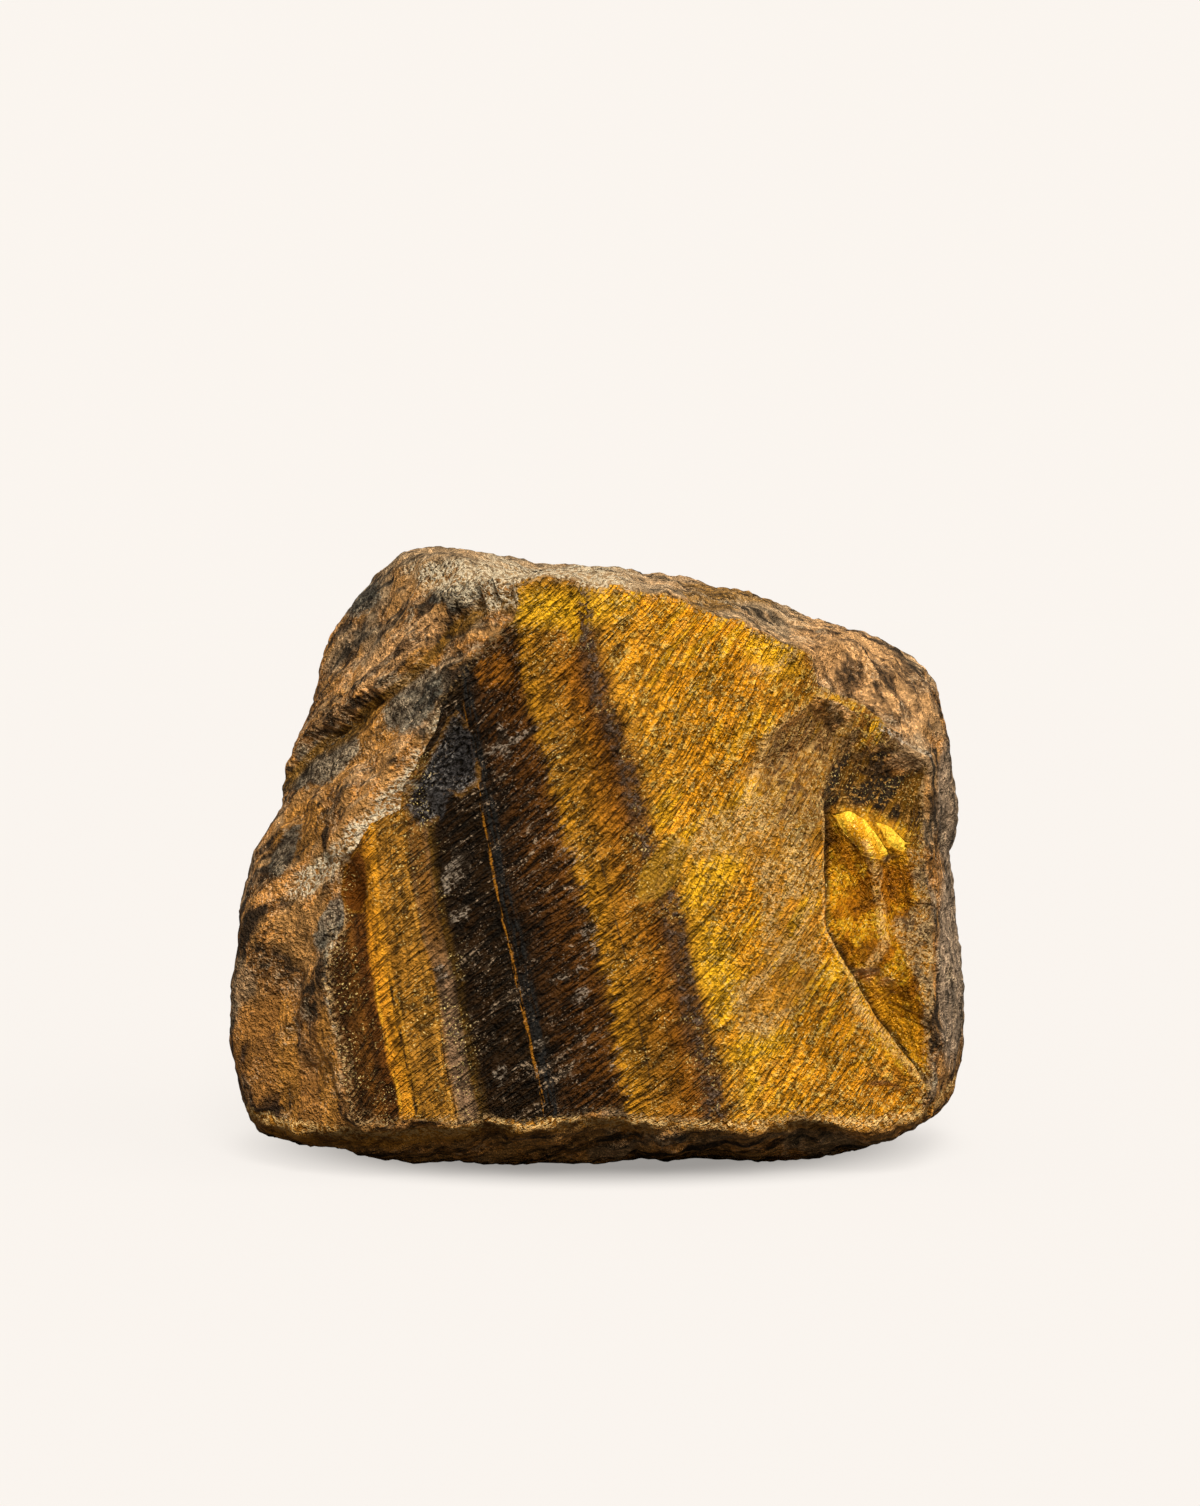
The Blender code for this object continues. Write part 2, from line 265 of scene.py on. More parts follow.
def pit(points, walls):
    """A pit with flat walls: each sinks from its rim at a slope, and the least of their depths counts."""
    depths = [slope * turned(points, rim, turn)[0] for rim, turn, slope in walls]
    return np.clip(np.min(depths, axis=0), 0, None)


HOLLOWS = {
    "long hollow": ((26.9, 31.8), 8.4, 2.9, 111, 1.4),
    "side hollow": ((31.5, 29.2), 6.0, 2.1, 98, 1.8),
    "low hollow": ((31.0, 17.2), 6.4, 3.1, 122, 1.9),
    "corner nick": ((30.6, 9.3), 3.6, 1.5, -12, 0.9),
    "top chip": ((18.4, 55.2), 5.0, 3.1, -28, 0.9),
    "leaf nick": ((-2.2, 59.2), 2.5, 0.9, 75, 1.0),
    "left leaf chip": ((-26.0, 31.3), 4.4, 1.7, 108, 1.6),
    "upper dark chip": ((-15.9, 44.9), 5.0, 3.1, 65, 1.2),
    "lower dark chip": ((-20.1, 39.9), 3.5, 2.7, 60, 1.3),
    "brown chip": ((-9.8, 53.4), 5.0, 3.1, 80, 1.0),
    "flake scar": ((6.0, 32.6), 4.0, 2.2, 52, 0.8),
}
SWELLINGS = {
    "tan hump": ((16.8, 33.0), 11.5, 7.0, 78, 1.5),
    "gold shoulder": ((11.0, 51.0), 13.0, 8.0, 60, 0.7),
    "lower gold": ((20.0, 13.0), 10.0, 7.0, 60, 0.6),
}
PITS = {
    "undercut": [
        ((30.0, 47.9), -117.5, 0.9), ((27.5, 37.2), 84, 0.7),
        ((35.4, 40.8), 165, 1.3), ((20.5, 44.0), 0, 0.5),
    ],
    "valley under the ridge": [
        ((20.5, 49.7), -57, 0.45), ((19.0, 40.5), 90, 0.35),
        ((14.4, 41.9), 0, 0.5), ((31.0, 45.0), 180, 0.4),
    ],
}
LOWER_SHOULDER = [((30.0, 47.9), 62.5, 1.0), ((22.6, 54.0), 0, 1.5)]     # here skin reaches over the face
BACK_HOLLOWS = {
    "broad chip": ((-11.0, 41.0), 16.0, 9.0, 35, 3.4),
    "low chip": ((14.0, 17.0), 12.0, 8.0, -25, 3.0),
    "side chip": ((22.0, 43.0), 9.0, 5.5, 60, 2.4),
}

CRACK = [(36.0, 9.0), (34.6, 10.8), (30.3, 16.4), (27.4, 21.2), (26.0, 23.8), (24.3, 27.0), (24.2, 40.8)]
CRACK_STEP = 1.2
CRACK_WIDTH = 0.6
CRACK_HEAD = (37.0, 41.5)
RIM = (32.5, 35.0)

LEDGE = [
    (-36.0, 39.0), (-33.5, 41.2), (-31.3, 43.8), (-28.5, 46.1), (-25.9, 48.1), (-23.5, 50.2),
    (-21.3, 52.2), (-18.0, 55.2), (-15.3, 58.6), (-11.0, 61.5),
]
LEDGE_HEIGHT = 2.2
LEDGE_WIDTH = 1.8
LEDGE_SINKS = (2.0, 9.0)
LEDGE_WANDER = 0.8


def relief_of(points, hollows):
    """Height that a group of hollows gives: each one takes its depth away."""
    return -sum(dish(points, *hollow) for hollow in hollows.values())


def beyond_crack(points):
    """How far a point lies to the right of the crack."""
    across, up = np.array(CRACK).T
    return points[:, 0] - np.interp(points[:, 2], up, across)


def split_relief(points):
    """Height of the split face above its plane: hollows, swellings, and the step back beyond the crack."""
    height = relief_of(points, HOLLOWS) - relief_of(points, SWELLINGS)
    height = height - sum(pit(points, walls) for walls in PITS.values()) - pit(points, LOWER_SHOULDER)
    back = step(0, CRACK_WIDTH, beyond_crack(points))
    back = back * (1 - step(*CRACK_HEAD, points[:, 2])) * (1 - step(*RIM, points[:, 0]))
    return height - CRACK_STEP * back


def above_ledge(points):
    """How far a point lies above the foot of the ledge on the left flank."""
    across, up = np.array(LEDGE).T
    return points[:, 2] - np.interp(points[:, 0], across, up) - LEDGE_WANDER * noise(points, 5, 12)


def flank_relief(points):
    """Height of the left flank: up from the ledge's foot, and half way down again over the slab above it."""
    over = above_ledge(points)
    return LEDGE_HEIGHT * step(0, LEDGE_WIDTH, over) * (1 - 0.5 * step(*LEDGE_SINKS, over))


def parts_of_field(points, skin, fresh):
    """Distances outside the weathered skin, outside the split face and outside the base."""
    worn = [above_plane(points, face) - skin for face in WORN_FACES.values()]
    chipped = relief_of(points, BACK_HOLLOWS)
    worn += [above_plane(points, face) - skin - chipped for face in BACK_FACES.values()]
    worn.append(above_plane(points, FLANK_FACE) - skin - flank_relief(points))
    worn.append(outside_outline(points) - OUTLINE_MARGIN)
    split = above_plane(points, SPLIT_FACE) - split_relief(points) - fresh
    return smooth_max(worn, SKIN_ROUNDING), split, above_plane(points, BASE_FACE)


def field(points, skin, fresh):
    """Negative inside the stone, positive outside it, and zero on its surface."""
    return smooth_max(parts_of_field(points, skin, fresh), FRESH_ROUNDING)


print("hollows:", ", ".join(HOLLOWS))

# %% [markdown]
# ## Skin and split face
#
# The skin has knobs, pits, and ridges that follow the fibres. The split face is finer: it rises and falls
# in low, splintery steps that run up to the right with the fibres.

# %% Skin and split face
FIBRES = long_along((0.77, 0.0, 0.64), 0.3)
RIDGES = long_along((0.64, 0.0, 0.77), 0.4)
BANDS = long_along((-0.20, 0.0, 0.98), 0.15) @ long_along((0.0, 1.0, 0.0), 0.3)


def skin_lumps(points):
    """Height of the weathered skin: broad lumps, steps along the bands, ridges, scallops and pits."""
    along_ridges = points @ RIDGES
    height = 0.8 * noise(points, 13, 1) + 1.1 * terraces(noise(points @ BANDS, 6, 7), 2)
    height = height + 0.9 * terraces(noise(along_ridges, 7, 2), 2)
    height = height + 1.2 * (scallops(along_ridges, 7, 3) - 0.35)
    return height + 0.3 * noise(points, 2.4, 9)


def fresh_lumps(points):
    """Height of the split face: low swells and splintery steps that run with the fibres."""
    along_fibres = points @ FIBRES
    height = 0.25 * noise(along_fibres, 8, 4) + 0.35 * terraces(noise(along_fibres, 5, 6), 2)
    return height + 0.4 * (scallops(along_fibres, 5, 5) - 0.35)


# %% [markdown]
# ## The mesh
#
# A grid on the six sides of a box gives every direction from a core inside the stone. Along each direction
# the distance to the surface is found by halving: try the middle, and keep the half that the surface is in.

# %% Directions from a box
CORE = np.array([5.0, 4.0, 31.0])
BOX_HALF_SIZES = np.array([40.0, 24.0, 32.0])
BOX_CELLS = (180, 64, 156)


def box_grid(cells):
    """Corners and quads of a box's surface. Each side is a grid of two counts; equal corners are shared."""
    span = max(cells) + 1
    quads = []
    for axis in range(3):
        u, v = (axis + 1) % 3, (axis + 2) % 3
        i, j = np.meshgrid(np.arange(cells[u] + 1), np.arange(cells[v] + 1), indexing="ij")
        for side in (0, cells[axis]):
            corner = np.zeros(i.shape + (3,), np.int64)
            corner[..., axis], corner[..., u], corner[..., v] = side, i, j
            key = corner @ np.array([1, span, span * span])
            quad = np.stack([key[:-1, :-1], key[1:, :-1], key[1:, 1:], key[:-1, 1:]], axis=-1).reshape(-1, 4)
            quads.append(quad if side else quad[:, ::-1])
    keys, quads = np.unique(np.concatenate(quads), return_inverse=True)
    corners = np.stack([keys % span, keys // span % span, keys // span ** 2], axis=1)
    return corners, quads.reshape(-1, 4)


grid_corners, quads = box_grid(BOX_CELLS)
directions = (grid_corners / np.array(BOX_CELLS) * 2 - 1) * BOX_HALF_SIZES
directions /= np.linalg.norm(directions, axis=1, keepdims=True)
print(len(directions), "corners,", len(quads), "quads")

# %% Meet the surface
REACH = (4.0, 66.0)
NEAR_REACH = 5.0
HALVINGS = (12, 13)                     # for the smooth stone, and then for the stone with its lumps


def surface(near, far, halvings, skin=0.0, fresh=0.0):
    """Where each direction meets the surface, between two distances from the core."""
    for _ in range(halvings):
        middle = (near + far) / 2
        inside = field(CORE + directions * middle[:, None], skin, fresh) < 0
        near = np.where(inside, middle, near)
        far = np.where(inside, far, middle)
    return near


count = len(directions)
distance = surface(np.full(count, REACH[0]), np.full(count, REACH[1]), HALVINGS[0])
smooth = CORE + directions * distance[:, None]
skin_height, fresh_height = skin_lumps(smooth), fresh_lumps(smooth)
nearer, farther = distance - NEAR_REACH, distance + NEAR_REACH
distance = surface(nearer, farther, HALVINGS[1], skin_height, fresh_height)
points = CORE + directions * distance[:, None]
print("the surface lies", distance.min().round(1), "to", distance.max().round(1), "mm from the core")


# %% [markdown]
# ## Bands and fibres
#
# The bands are layers that run down to the right and through the whole stone. Their edges wander, so each
# edge is a line of places, and a band number is worked out between the lines. It is the place across the
# face, in millimetres, that a band has 30.3 mm above the ground.
#
# The fibres cross the bands. Their slope changes from band to band, so the strand number is the height
# less the slope summed up across the bands: it stays the same along a fibre.

# %% Bands and fibres
BAND_HEIGHTS = [8.1, 13.4, 19.7, 23.9, 30.3, 34.5, 40.8, 45.1, 51.4, 57.7]
BAND_LINES = {
    -24.3: [-20.9, -21.9, -23.3, -23.8, -24.3, -24.7, -25.4, -26.0, -27.1, -28.1],
    -19.1: [-14.9, -16.1, -17.0, -17.8, -19.1, -19.7, -20.5, -20.7, -21.0, -21.3],
    -10.0: [-5.1, -6.2, -7.7, -8.5, -10.0, -10.7, -11.9, -12.7, -13.9, -14.7],
    -1.4: [3.1, 2.3, 1.2, 0.2, -1.4, -2.4, -4.2, -5.8, -7.6, -8.5],
    9.0: [14.0, 12.9, 11.3, 10.5, 9.0, 7.2, 5.2, 4.1, 1.6, 0.0],
}
BAND_LEAN = 2.0                         # how far the bands move to the left for each mm behind the split face
BAND_STEPS = np.linspace(-60, 60, 601)  # band numbers at which the fibres' slope is summed up
FIBRE_SLOPES = [(-30, 1.3), (-20, 0.75), (-10, 0.62), (0, 0.62), (8, 0.8), (14, 1.1), (40, 1.2)]


def band_number(points, behind):
    """The place across the bands: the lines' numbers, blended by where the point lies between them."""
    x = points[:, 0] + BAND_LEAN * behind
    marks = np.array(list(BAND_LINES))
    lines = np.stack([np.interp(points[:, 2], BAND_HEIGHTS, line) for line in BAND_LINES.values()])
    number = x - lines[0] + marks[0]
    for i in range(1, len(marks)):
        share = (x - lines[i - 1]) / (lines[i] - lines[i - 1])
        number = np.where(share > 0, marks[i - 1] + share * (marks[i] - marks[i - 1]), number)
    return np.where(x > lines[-1], x - lines[-1] + marks[-1], number)


def strand_number(points, band):
    """The height less the fibre's slope summed up across the bands."""
    places, slopes = np.array(FIBRE_SLOPES).T
    rises = np.diff(BAND_STEPS) * np.interp(BAND_STEPS[1:], places, slopes)
    return points[:, 2] - np.interp(band, BAND_STEPS, np.concatenate([[0], np.cumsum(rises)]))


worn_part, split_part, base_part = parts_of_field(points, skin_height, fresh_height)
band = band_number(points, np.maximum(-split_part, 0))
strand = strand_number(points, band)
print("band numbers run from", band.min().round(), "to", band.max().round())

# %% [markdown]
# ## Fine relief
#
# Last come splinters, pits and hairline steps, raised along the surface's own direction. They are real
# shape, so they catch the light from every side.


# %% Fine relief
def facing(points):
    """Outward directions at the corners: the cross products of the quads' diagonals, made one long."""
    a, b, c, d = (points[quads[:, i]] for i in range(4))
    normal = np.cross(c - a, d - b)
    total = np.stack([
        sum(np.bincount(quads[:, i], normal[:, axis], len(points)) for i in range(4)) for axis in range(3)
    ], axis=1)
    return total / np.linalg.norm(total, axis=1, keepdims=True)


RIDGE_LINES = {
    "beside the long hollow": [
        (28.3, 35.8), (29.5, 32.4), (30.0, 28.7), (30.4, 25.0), (29.2, 23.2), (26.8, 21.3),
    ],
    "under the low hollow": [(26.8, 21.3), (27.5, 18.4), (29.6, 15.8), (32.0, 13.1), (33.8, 11.5)],
    "left of the hump": [(14.9, 39.1), (16.2, 41.9), (16.8, 43.8), (17.6, 47.2)],
    "above the valley": [(17.6, 47.2), (19.7, 49.1), (21.8, 50.3), (24.1, 51.6)],
    "below the hump": [(22.5, 29.7), (21.2, 26.6), (19.6, 24.5), (17.5, 21.8), (14.7, 19.3)],
    "below the top chip": [(16.5, 54.4), (17.5, 54.2), (18.6, 54.0), (19.7, 55.2), (21.2, 56.0)],
    "flake lip": [(4.4, 29.7), (6.3, 31.0), (6.9, 32.6), (7.3, 34.3), (8.6, 36.1)],
}
CRACK_SPAN = ((8.0, 10.0), (39.5, 41.5))        # heights over which the crack opens and closes
RIDGE_WANDER = 0.3
CRACK_WANDER = 0.2
BORDER = (-0.1, 0.4)                    # over these depths inside a border its own relief comes in
OFF_BASE = (-0.02, -0.4)                # and over these depths away from the base
RIDGE_HEIGHT = 0.35
FLAKE_HEIGHT = 0.30
GROOVE_DEPTH = 0.9
GROOVE_LIP = 0.3
FLAKES = {
    "wide": [
        (24.8, 38.9), (26.8, 39.2), (28.4, 38.3), (29.8, 36.6), (31.1, 34.6), (30.2, 33.7),
        (28.0, 34.6), (26.2, 36.6),
    ],
    "narrow": [(29.0, 38.2), (31.0, 37.5), (33.0, 35.8), (32.4, 34.6), (30.8, 35.4), (30.2, 36.6)],
}


def from_lines(points, lines):
    """Distance from the nearest of several bent lines, seen from the front, taken leg by leg."""
    x, z = points[:, 0], points[:, 2]
    nearest = np.full(len(points), 9.0)
    for line in lines:
        for (x0, z0), (x1, z1) in zip(line, line[1:]):
            along_x, along_z = x1 - x0, z1 - z0
            share = np.clip(((x - x0) * along_x + (z - z0) * along_z) / (along_x ** 2 + along_z ** 2), 0, 1)
            nearest = np.minimum(nearest, np.hypot(x - x0 - share * along_x, z - z0 - share * along_z))
    return nearest


def inside_of(points, corners):
    """How far a point lies inside an outline: its distance from the nearest side, below zero outside."""
    x, z = points[:, 0], points[:, 2]
    inside = np.zeros(len(points), bool)
    for (x0, z0), (x1, z1) in zip(corners, corners[1:] + corners[:1]):
        crosses = (z0 > z) != (z1 > z)
        inside ^= crosses & (x < x0 + (z - z0) * (x1 - x0) / ((z1 - z0) or 1))
    nearest = from_lines(points, [corners + corners[:1]])
    return np.where(inside, nearest, -nearest)


edge = split_part - worn_part           # above zero on the split face, below zero on the skin
ridge = from_lines(points + RIDGE_WANDER * noise(points, 2.0, 41)[:, None], RIDGE_LINES.values())
crack = beyond_crack(points) + CRACK_WANDER * noise(points, 2.0, 42)
in_crack = step(*CRACK_SPAN[0], points[:, 2]) * (1 - step(*CRACK_SPAN[1], points[:, 2]))
on_flake = np.maximum(*(step(*BORDER, inside_of(points, corners)) for corners in FLAKES.values()))
split_share = step(*BORDER, edge)
off_base = step(*OFF_BASE, base_part)


def splinters(points, band, strand):
    """Ridges along the fibres: noise that is narrow across the strands and long along them."""
    place = np.stack([strand, band * 0.14, points[:, 1] * 0.5], axis=1)
    fine = 1 - 2 * np.abs(noise(place, 1.3, 21))
    coarse = terraces(noise(place, 3.2, 22), 3)
    raised = 0.07 * fine + 0.18 * coarse + 0.06 * noise(points, 0.9, 23)
    raised = raised + RIDGE_HEIGHT * np.exp(-(ridge / 0.7) ** 2) + FLAKE_HEIGHT * on_flake
    groove, lip = np.exp(-((crack - 0.4) / 0.5) ** 2), np.exp(-((crack + 0.6) / 0.5) ** 2)
    return raised - in_crack * (GROOVE_DEPTH * groove - GROOVE_LIP * lip)


def knobs(points, band, strand):
    """Ridges where the bands come out on the skin, with knobs and pits on them."""
    ridges = 1 - 2 * np.abs(noise(np.stack([band, strand * 0.12, band * 0], axis=1), 3.0, 37))
    pits = scallops(points @ RIDGES, 2.6, 33)
    return 0.24 * ridges - 0.26 * pits + 0.20 * noise(points, 1.6, 31) + 0.14 * noise(points, 0.9, 35)


raised = split_share * splinters(points, band, strand) + (1 - split_share) * knobs(points, band, strand)
points = points + facing(points) * (raised * off_base)[:, None]
points[:, 2] = np.maximum(points[:, 2], 0)
normals = facing(points)
print("fine relief stands up to", np.abs(raised).max().round(2), "mm")

# %% [markdown]
# ## Patches
#
# Some places have a colour of their own: a tan crust, a brown valley, dim places and glassy chips on the
# split face, their pale glints painted, and grey, rusty and pale patches on the skin. Others are painted
# light and shade: the dark hollow under the shoulder is painted shade, and some bright and amber ovals are
# painted light on facets that face away from the lamps. Each is an outline or a soft oval seen from the
# front. The mesh keeps how far each corner lies inside it, so that a material can fray the border.

# %% Patches
FAR_OUTSIDE = -9.0
FRONT_FACING = 0.3                      # outlines reach where the surface faces less than this much backward
FRONT_FADE = (12.0, -6.0)               # ovals grow from nothing to full between these places along Y
OUTLINED_PATCHES = {
    "tan": [
        (11.0, 39.3), (15.5, 40.2), (16.8, 42.4), (18.7, 40.7), (23.7, 39.8), (23.8, 24.2), (22.5, 19.5),
        (17.6, 15.4), (14.9, 16.5), (14.4, 20.7), (17.1, 24.8), (17.3, 30.0), (15.5, 34.2), (9.1, 34.3),
    ],
    "valley": [
        (16.8, 42.4), (15.0, 43.2), (16.8, 46.6), (21.4, 50.2), (24.2, 51.7), (28.6, 47.5), (26.7, 43.6),
        (24.0, 38.0), (18.0, 38.6),
    ],
    # the undercut under the shoulder, coloured near-black: painted shade
    "hollow": [
        (28.6, 47.5), (31.5, 46.2), (36.8, 44.1), (36.0, 40.4), (34.5, 36.6), (32.0, 37.6), (29.0, 39.3),
        (26.0, 39.4), (23.6, 39.2), (24.6, 43.1),
    ],
    "deep": [
        (23.8, 39.2), (27.7, 38.9), (32.5, 35.2), (34.6, 33.0), (34.6, 29.9), (32.4, 27.3), (34.5, 23.6),
        (35.8, 18.4), (34.9, 11.6), (31.8, 10.6), (29.7, 14.3), (26.5, 21.1), (24.7, 26.8), (24.0, 33.1),
    ],
    "rim": [
        (32.5, 35.2), (34.6, 35.1), (36.2, 32.0), (36.9, 23.6), (36.6, 15.2), (35.5, 11.6), (34.4, 13.2),
        (34.2, 19.4), (32.4, 24.1), (30.8, 26.8), (33.5, 29.9),
    ],
    "blue": [
        (-15.8, 49.8), (-14.3, 50.2), (-13.5, 47.6), (-12.2, 42.9), (-14.3, 41.1), (-15.8, 41.3),
        (-16.1, 39.2), (-18.7, 37.6), (-20.4, 39.4), (-20.0, 41.6), (-18.1, 45.0), (-16.6, 47.6),
    ],
    "lens": [
        (-12.2, 56.0), (-10.3, 56.5), (-9.0, 54.9), (-8.8, 52.8), (-10.6, 52.3), (-12.4, 52.3), (-13.1, 54.2),
    ],
    "covered": [
        (-28.0, 35.0), (-27.0, 43.5), (-22.0, 48.5), (-16.8, 50.2), (-17.2, 48.0), (-18.9, 45.3),
        (-20.7, 42.2), (-20.9, 39.6), (-24.0, 38.6), (-26.0, 35.4),
    ],
    "leaf": [
        (-25.3, 36.1), (-24.3, 34.3), (-24.1, 31.4), (-24.7, 28.8), (-26.5, 28.8), (-27.2, 30.9),
        (-26.7, 33.7),
    ],
}
OVAL_PATCHES = {
    # brighter gold; over the top chip's upper wall and the facet under the crest, painted light
    "bright": [
        ((12.5, 23.0), 7.0, 2.8, 104), ((18.4, 55.8), 4.5, 2.4, -35), ((17.0, 14.6), 4.5, 2.0, 20),
        ((16.3, 10.8), 3.0, 0.9, 80), ((-4.0, 60.8), 8.0, 2.6, 0), ((13.0, 33.5), 4.0, 2.4, 60),
        ((24.1, 50.0), 2.6, 1.4, 0), ((10.4, 31.5), 3.8, 1.8, 75), ((-2.2, 59.0), 2.4, 0.8, 75),
    ],
    "dim": [((23.5, 18.0), 8.5, 3.8, 118), ((23.5, 37.6), 6.0, 2.6, 5), ((6.5, 14.0), 9.0, 3.0, 105)],
    "scar": [((6.8, 33.2), 4.4, 2.0, 54)],
    # deep gold around the splinters and in the low hollow; the small one under the crest is painted light
    "amber": [((29.5, 36.3), 5.5, 2.8, -30), ((31.0, 18.0), 6.0, 2.2, 120), ((24.1, 50.2), 3.0, 1.5, -10)],
    "grey": [
        ((-19.6, 51.0), 4.8, 2.6, 48), ((-29.3, 43.8), 5.8, 2.0, 38), ((-26.6, 60.8), 3.8, 2.4, 20),
        ((-28.0, 28.0), 4.0, 1.6, 60), ((-33.5, 34.5), 3.5, 1.4, 60), ((-15.0, 62.0), 4.0, 1.2, 10),
    ],
    "rust": [
        ((-19.0, 54.5), 4.5, 1.8, 45), ((-23.5, 47.5), 5.0, 2.4, 48), ((-28.5, 44.0), 5.5, 2.4, 40),
        ((-32.0, 36.5), 5.0, 2.6, 50), ((-33.0, 12.0), 9.0, 1.6, 92), ((-28.5, 12.0), 9.0, 1.4, 92),
    ],
    "cream": [
        ((-22.6, 39.4), 12.0, 2.2, 44), ((-16.0, 49.5), 7.0, 1.3, 58), ((-8.0, 63.2), 15.0, 3.0, 0),
        ((-16.5, 64.0), 6.0, 2.0, 0), ((-29.5, 33.0), 6.0, 1.6, 45), ((-27.0, 20.5), 8.0, 2.0, 98),
    ],
    "slab": [((-21.0, 55.8), 7.0, 2.2, 42), ((-29.0, 47.5), 4.0, 1.4, 42), ((28.5, 53.0), 10.0, 4.5, -32)],
    "glass": [
        ((-15.0, 33.4), 3.0, 1.5, 60), ((-14.5, 28.7), 1.6, 0.9, 40),
        ((-10.3, 11.8), 1.4, 1.0, 80), ((-1.9, 20.2), 1.4, 0.8, 40), ((-6.1, 15.0), 1.4, 0.7, 60),
        ((-16.6, 22.5), 1.2, 1.0, 90), ((-10.0, 47.0), 2.5, 0.6, 105), ((-1.0, 27.0), 1.2, 0.8, 45),
        ((-9.0, 47.0), 4.2, 0.5, 28), ((-3.5, 22.2), 3.0, 0.4, 22),
    ],
    "pale_grey": [((38.6, 38.0), 9.0, 3.0, 95), ((38.6, 22.0), 14.0, 3.0, 90)],
    "dark_brown": [((-33.0, 11.0), 11.0, 9.0, 85)],
}
LIP = [                                 # the lower edge of the split face, across and up
    (-40.0, 6.6), (-35.8, 5.9), (-22.2, 5.2), (-13.4, 6.2), (-2.3, 6.7), (13.7, 6.2), (30.5, 6.5),
    (38.0, 7.6),
]
CREST = ((30.0, 47.9), -27.5)           # a place on the shoulder's lower edge, and the way that edge runs


def inside_ovals(points, ovals):
    """How far a point lies in a group of soft ovals: 1 in the middle of one, 0 at its rim and outside."""
    return np.max([dish(points, *oval, 1.0) for oval in ovals], axis=0)


at_front = normals[:, 1] < FRONT_FACING
near_front = step(*FRONT_FADE, points[:, 1])
marks = {"band": band, "strand": strand, "edge": edge - 2 * pit(points, LOWER_SHOULDER)}
marks["ridge"], marks["flake"] = ridge, on_flake
marks["crack"] = np.where(in_crack > 0.5, crack, FAR_OUTSIDE)
for name, corners in OUTLINED_PATCHES.items():
    marks[name] = np.where(at_front, inside_of(points, corners), FAR_OUTSIDE)
for name, ovals in OVAL_PATCHES.items():
    marks[name] = near_front * inside_ovals(points, ovals)
marks["crest"] = turned(points, *CREST)[1]
marks["lip"] = np.where(at_front, points[:, 2] - np.interp(points[:, 0], *np.array(LIP).T), -FAR_OUTSIDE)
marks["ledge"] = np.where(at_front, above_ledge(points), FAR_OUTSIDE)
marks["up"] = normals[:, 2]
print(len(marks), "marks:", ", ".join(marks))


# %% Put the stone into Blender
def make_piece(name, points, quads, marks):
    """A mesh object at the origin from corners in millimetres, with one number per corner for each mark."""
    mesh = bpy.data.meshes.new(name)
    mesh.from_pydata((points * MM).tolist(), [], quads.tolist())
    mesh.shade_smooth()
    for mark, values in marks.items():
        mesh.attributes.new(mark, "FLOAT", "POINT").data.foreach_set("value", values.astype(np.float32))
    piece = bpy.data.objects.new(name, mesh)
    bpy.context.scene.collection.objects.link(piece)
    return piece


stone = make_piece("stone_surface", points, quads, marks)
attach(stone, "root")
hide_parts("stone")
print("the stone has", len(stone.data.polygons), "quads")

# %% [markdown]
# ## Shader sums
#
# A material is a chain of small sums. Writing them as Python expressions keeps them readable, so a small
# class stands for a socket, and each sign it meets adds the Math node that does that sum.


# %% Shader sums
class Number:
    """A socket that holds a number, on which + - * and / add Math nodes."""

    def __init__(self, paint, socket):
        self.paint, self.socket = paint, socket

    def sum(self, operation, first, second):
        """A Math node's result."""
        return self.paint.node("ShaderNodeMath", {"operation": operation}, {0: first, 1: second})

    def __add__(self, other):
        return self.sum("ADD", self, other)

    def __sub__(self, other):
        return self.sum("SUBTRACT", self, other)

    def __mul__(self, other):
        return self.sum("MULTIPLY", self, other)

    def __truediv__(self, other):
        return self.sum("DIVIDE", self, other)

    def __rsub__(self, other):
        return self.sum("SUBTRACT", other, self)

    def __abs__(self):
        return self.sum("ABSOLUTE", self, 0)

    __radd__ = __add__
    __rmul__ = __mul__


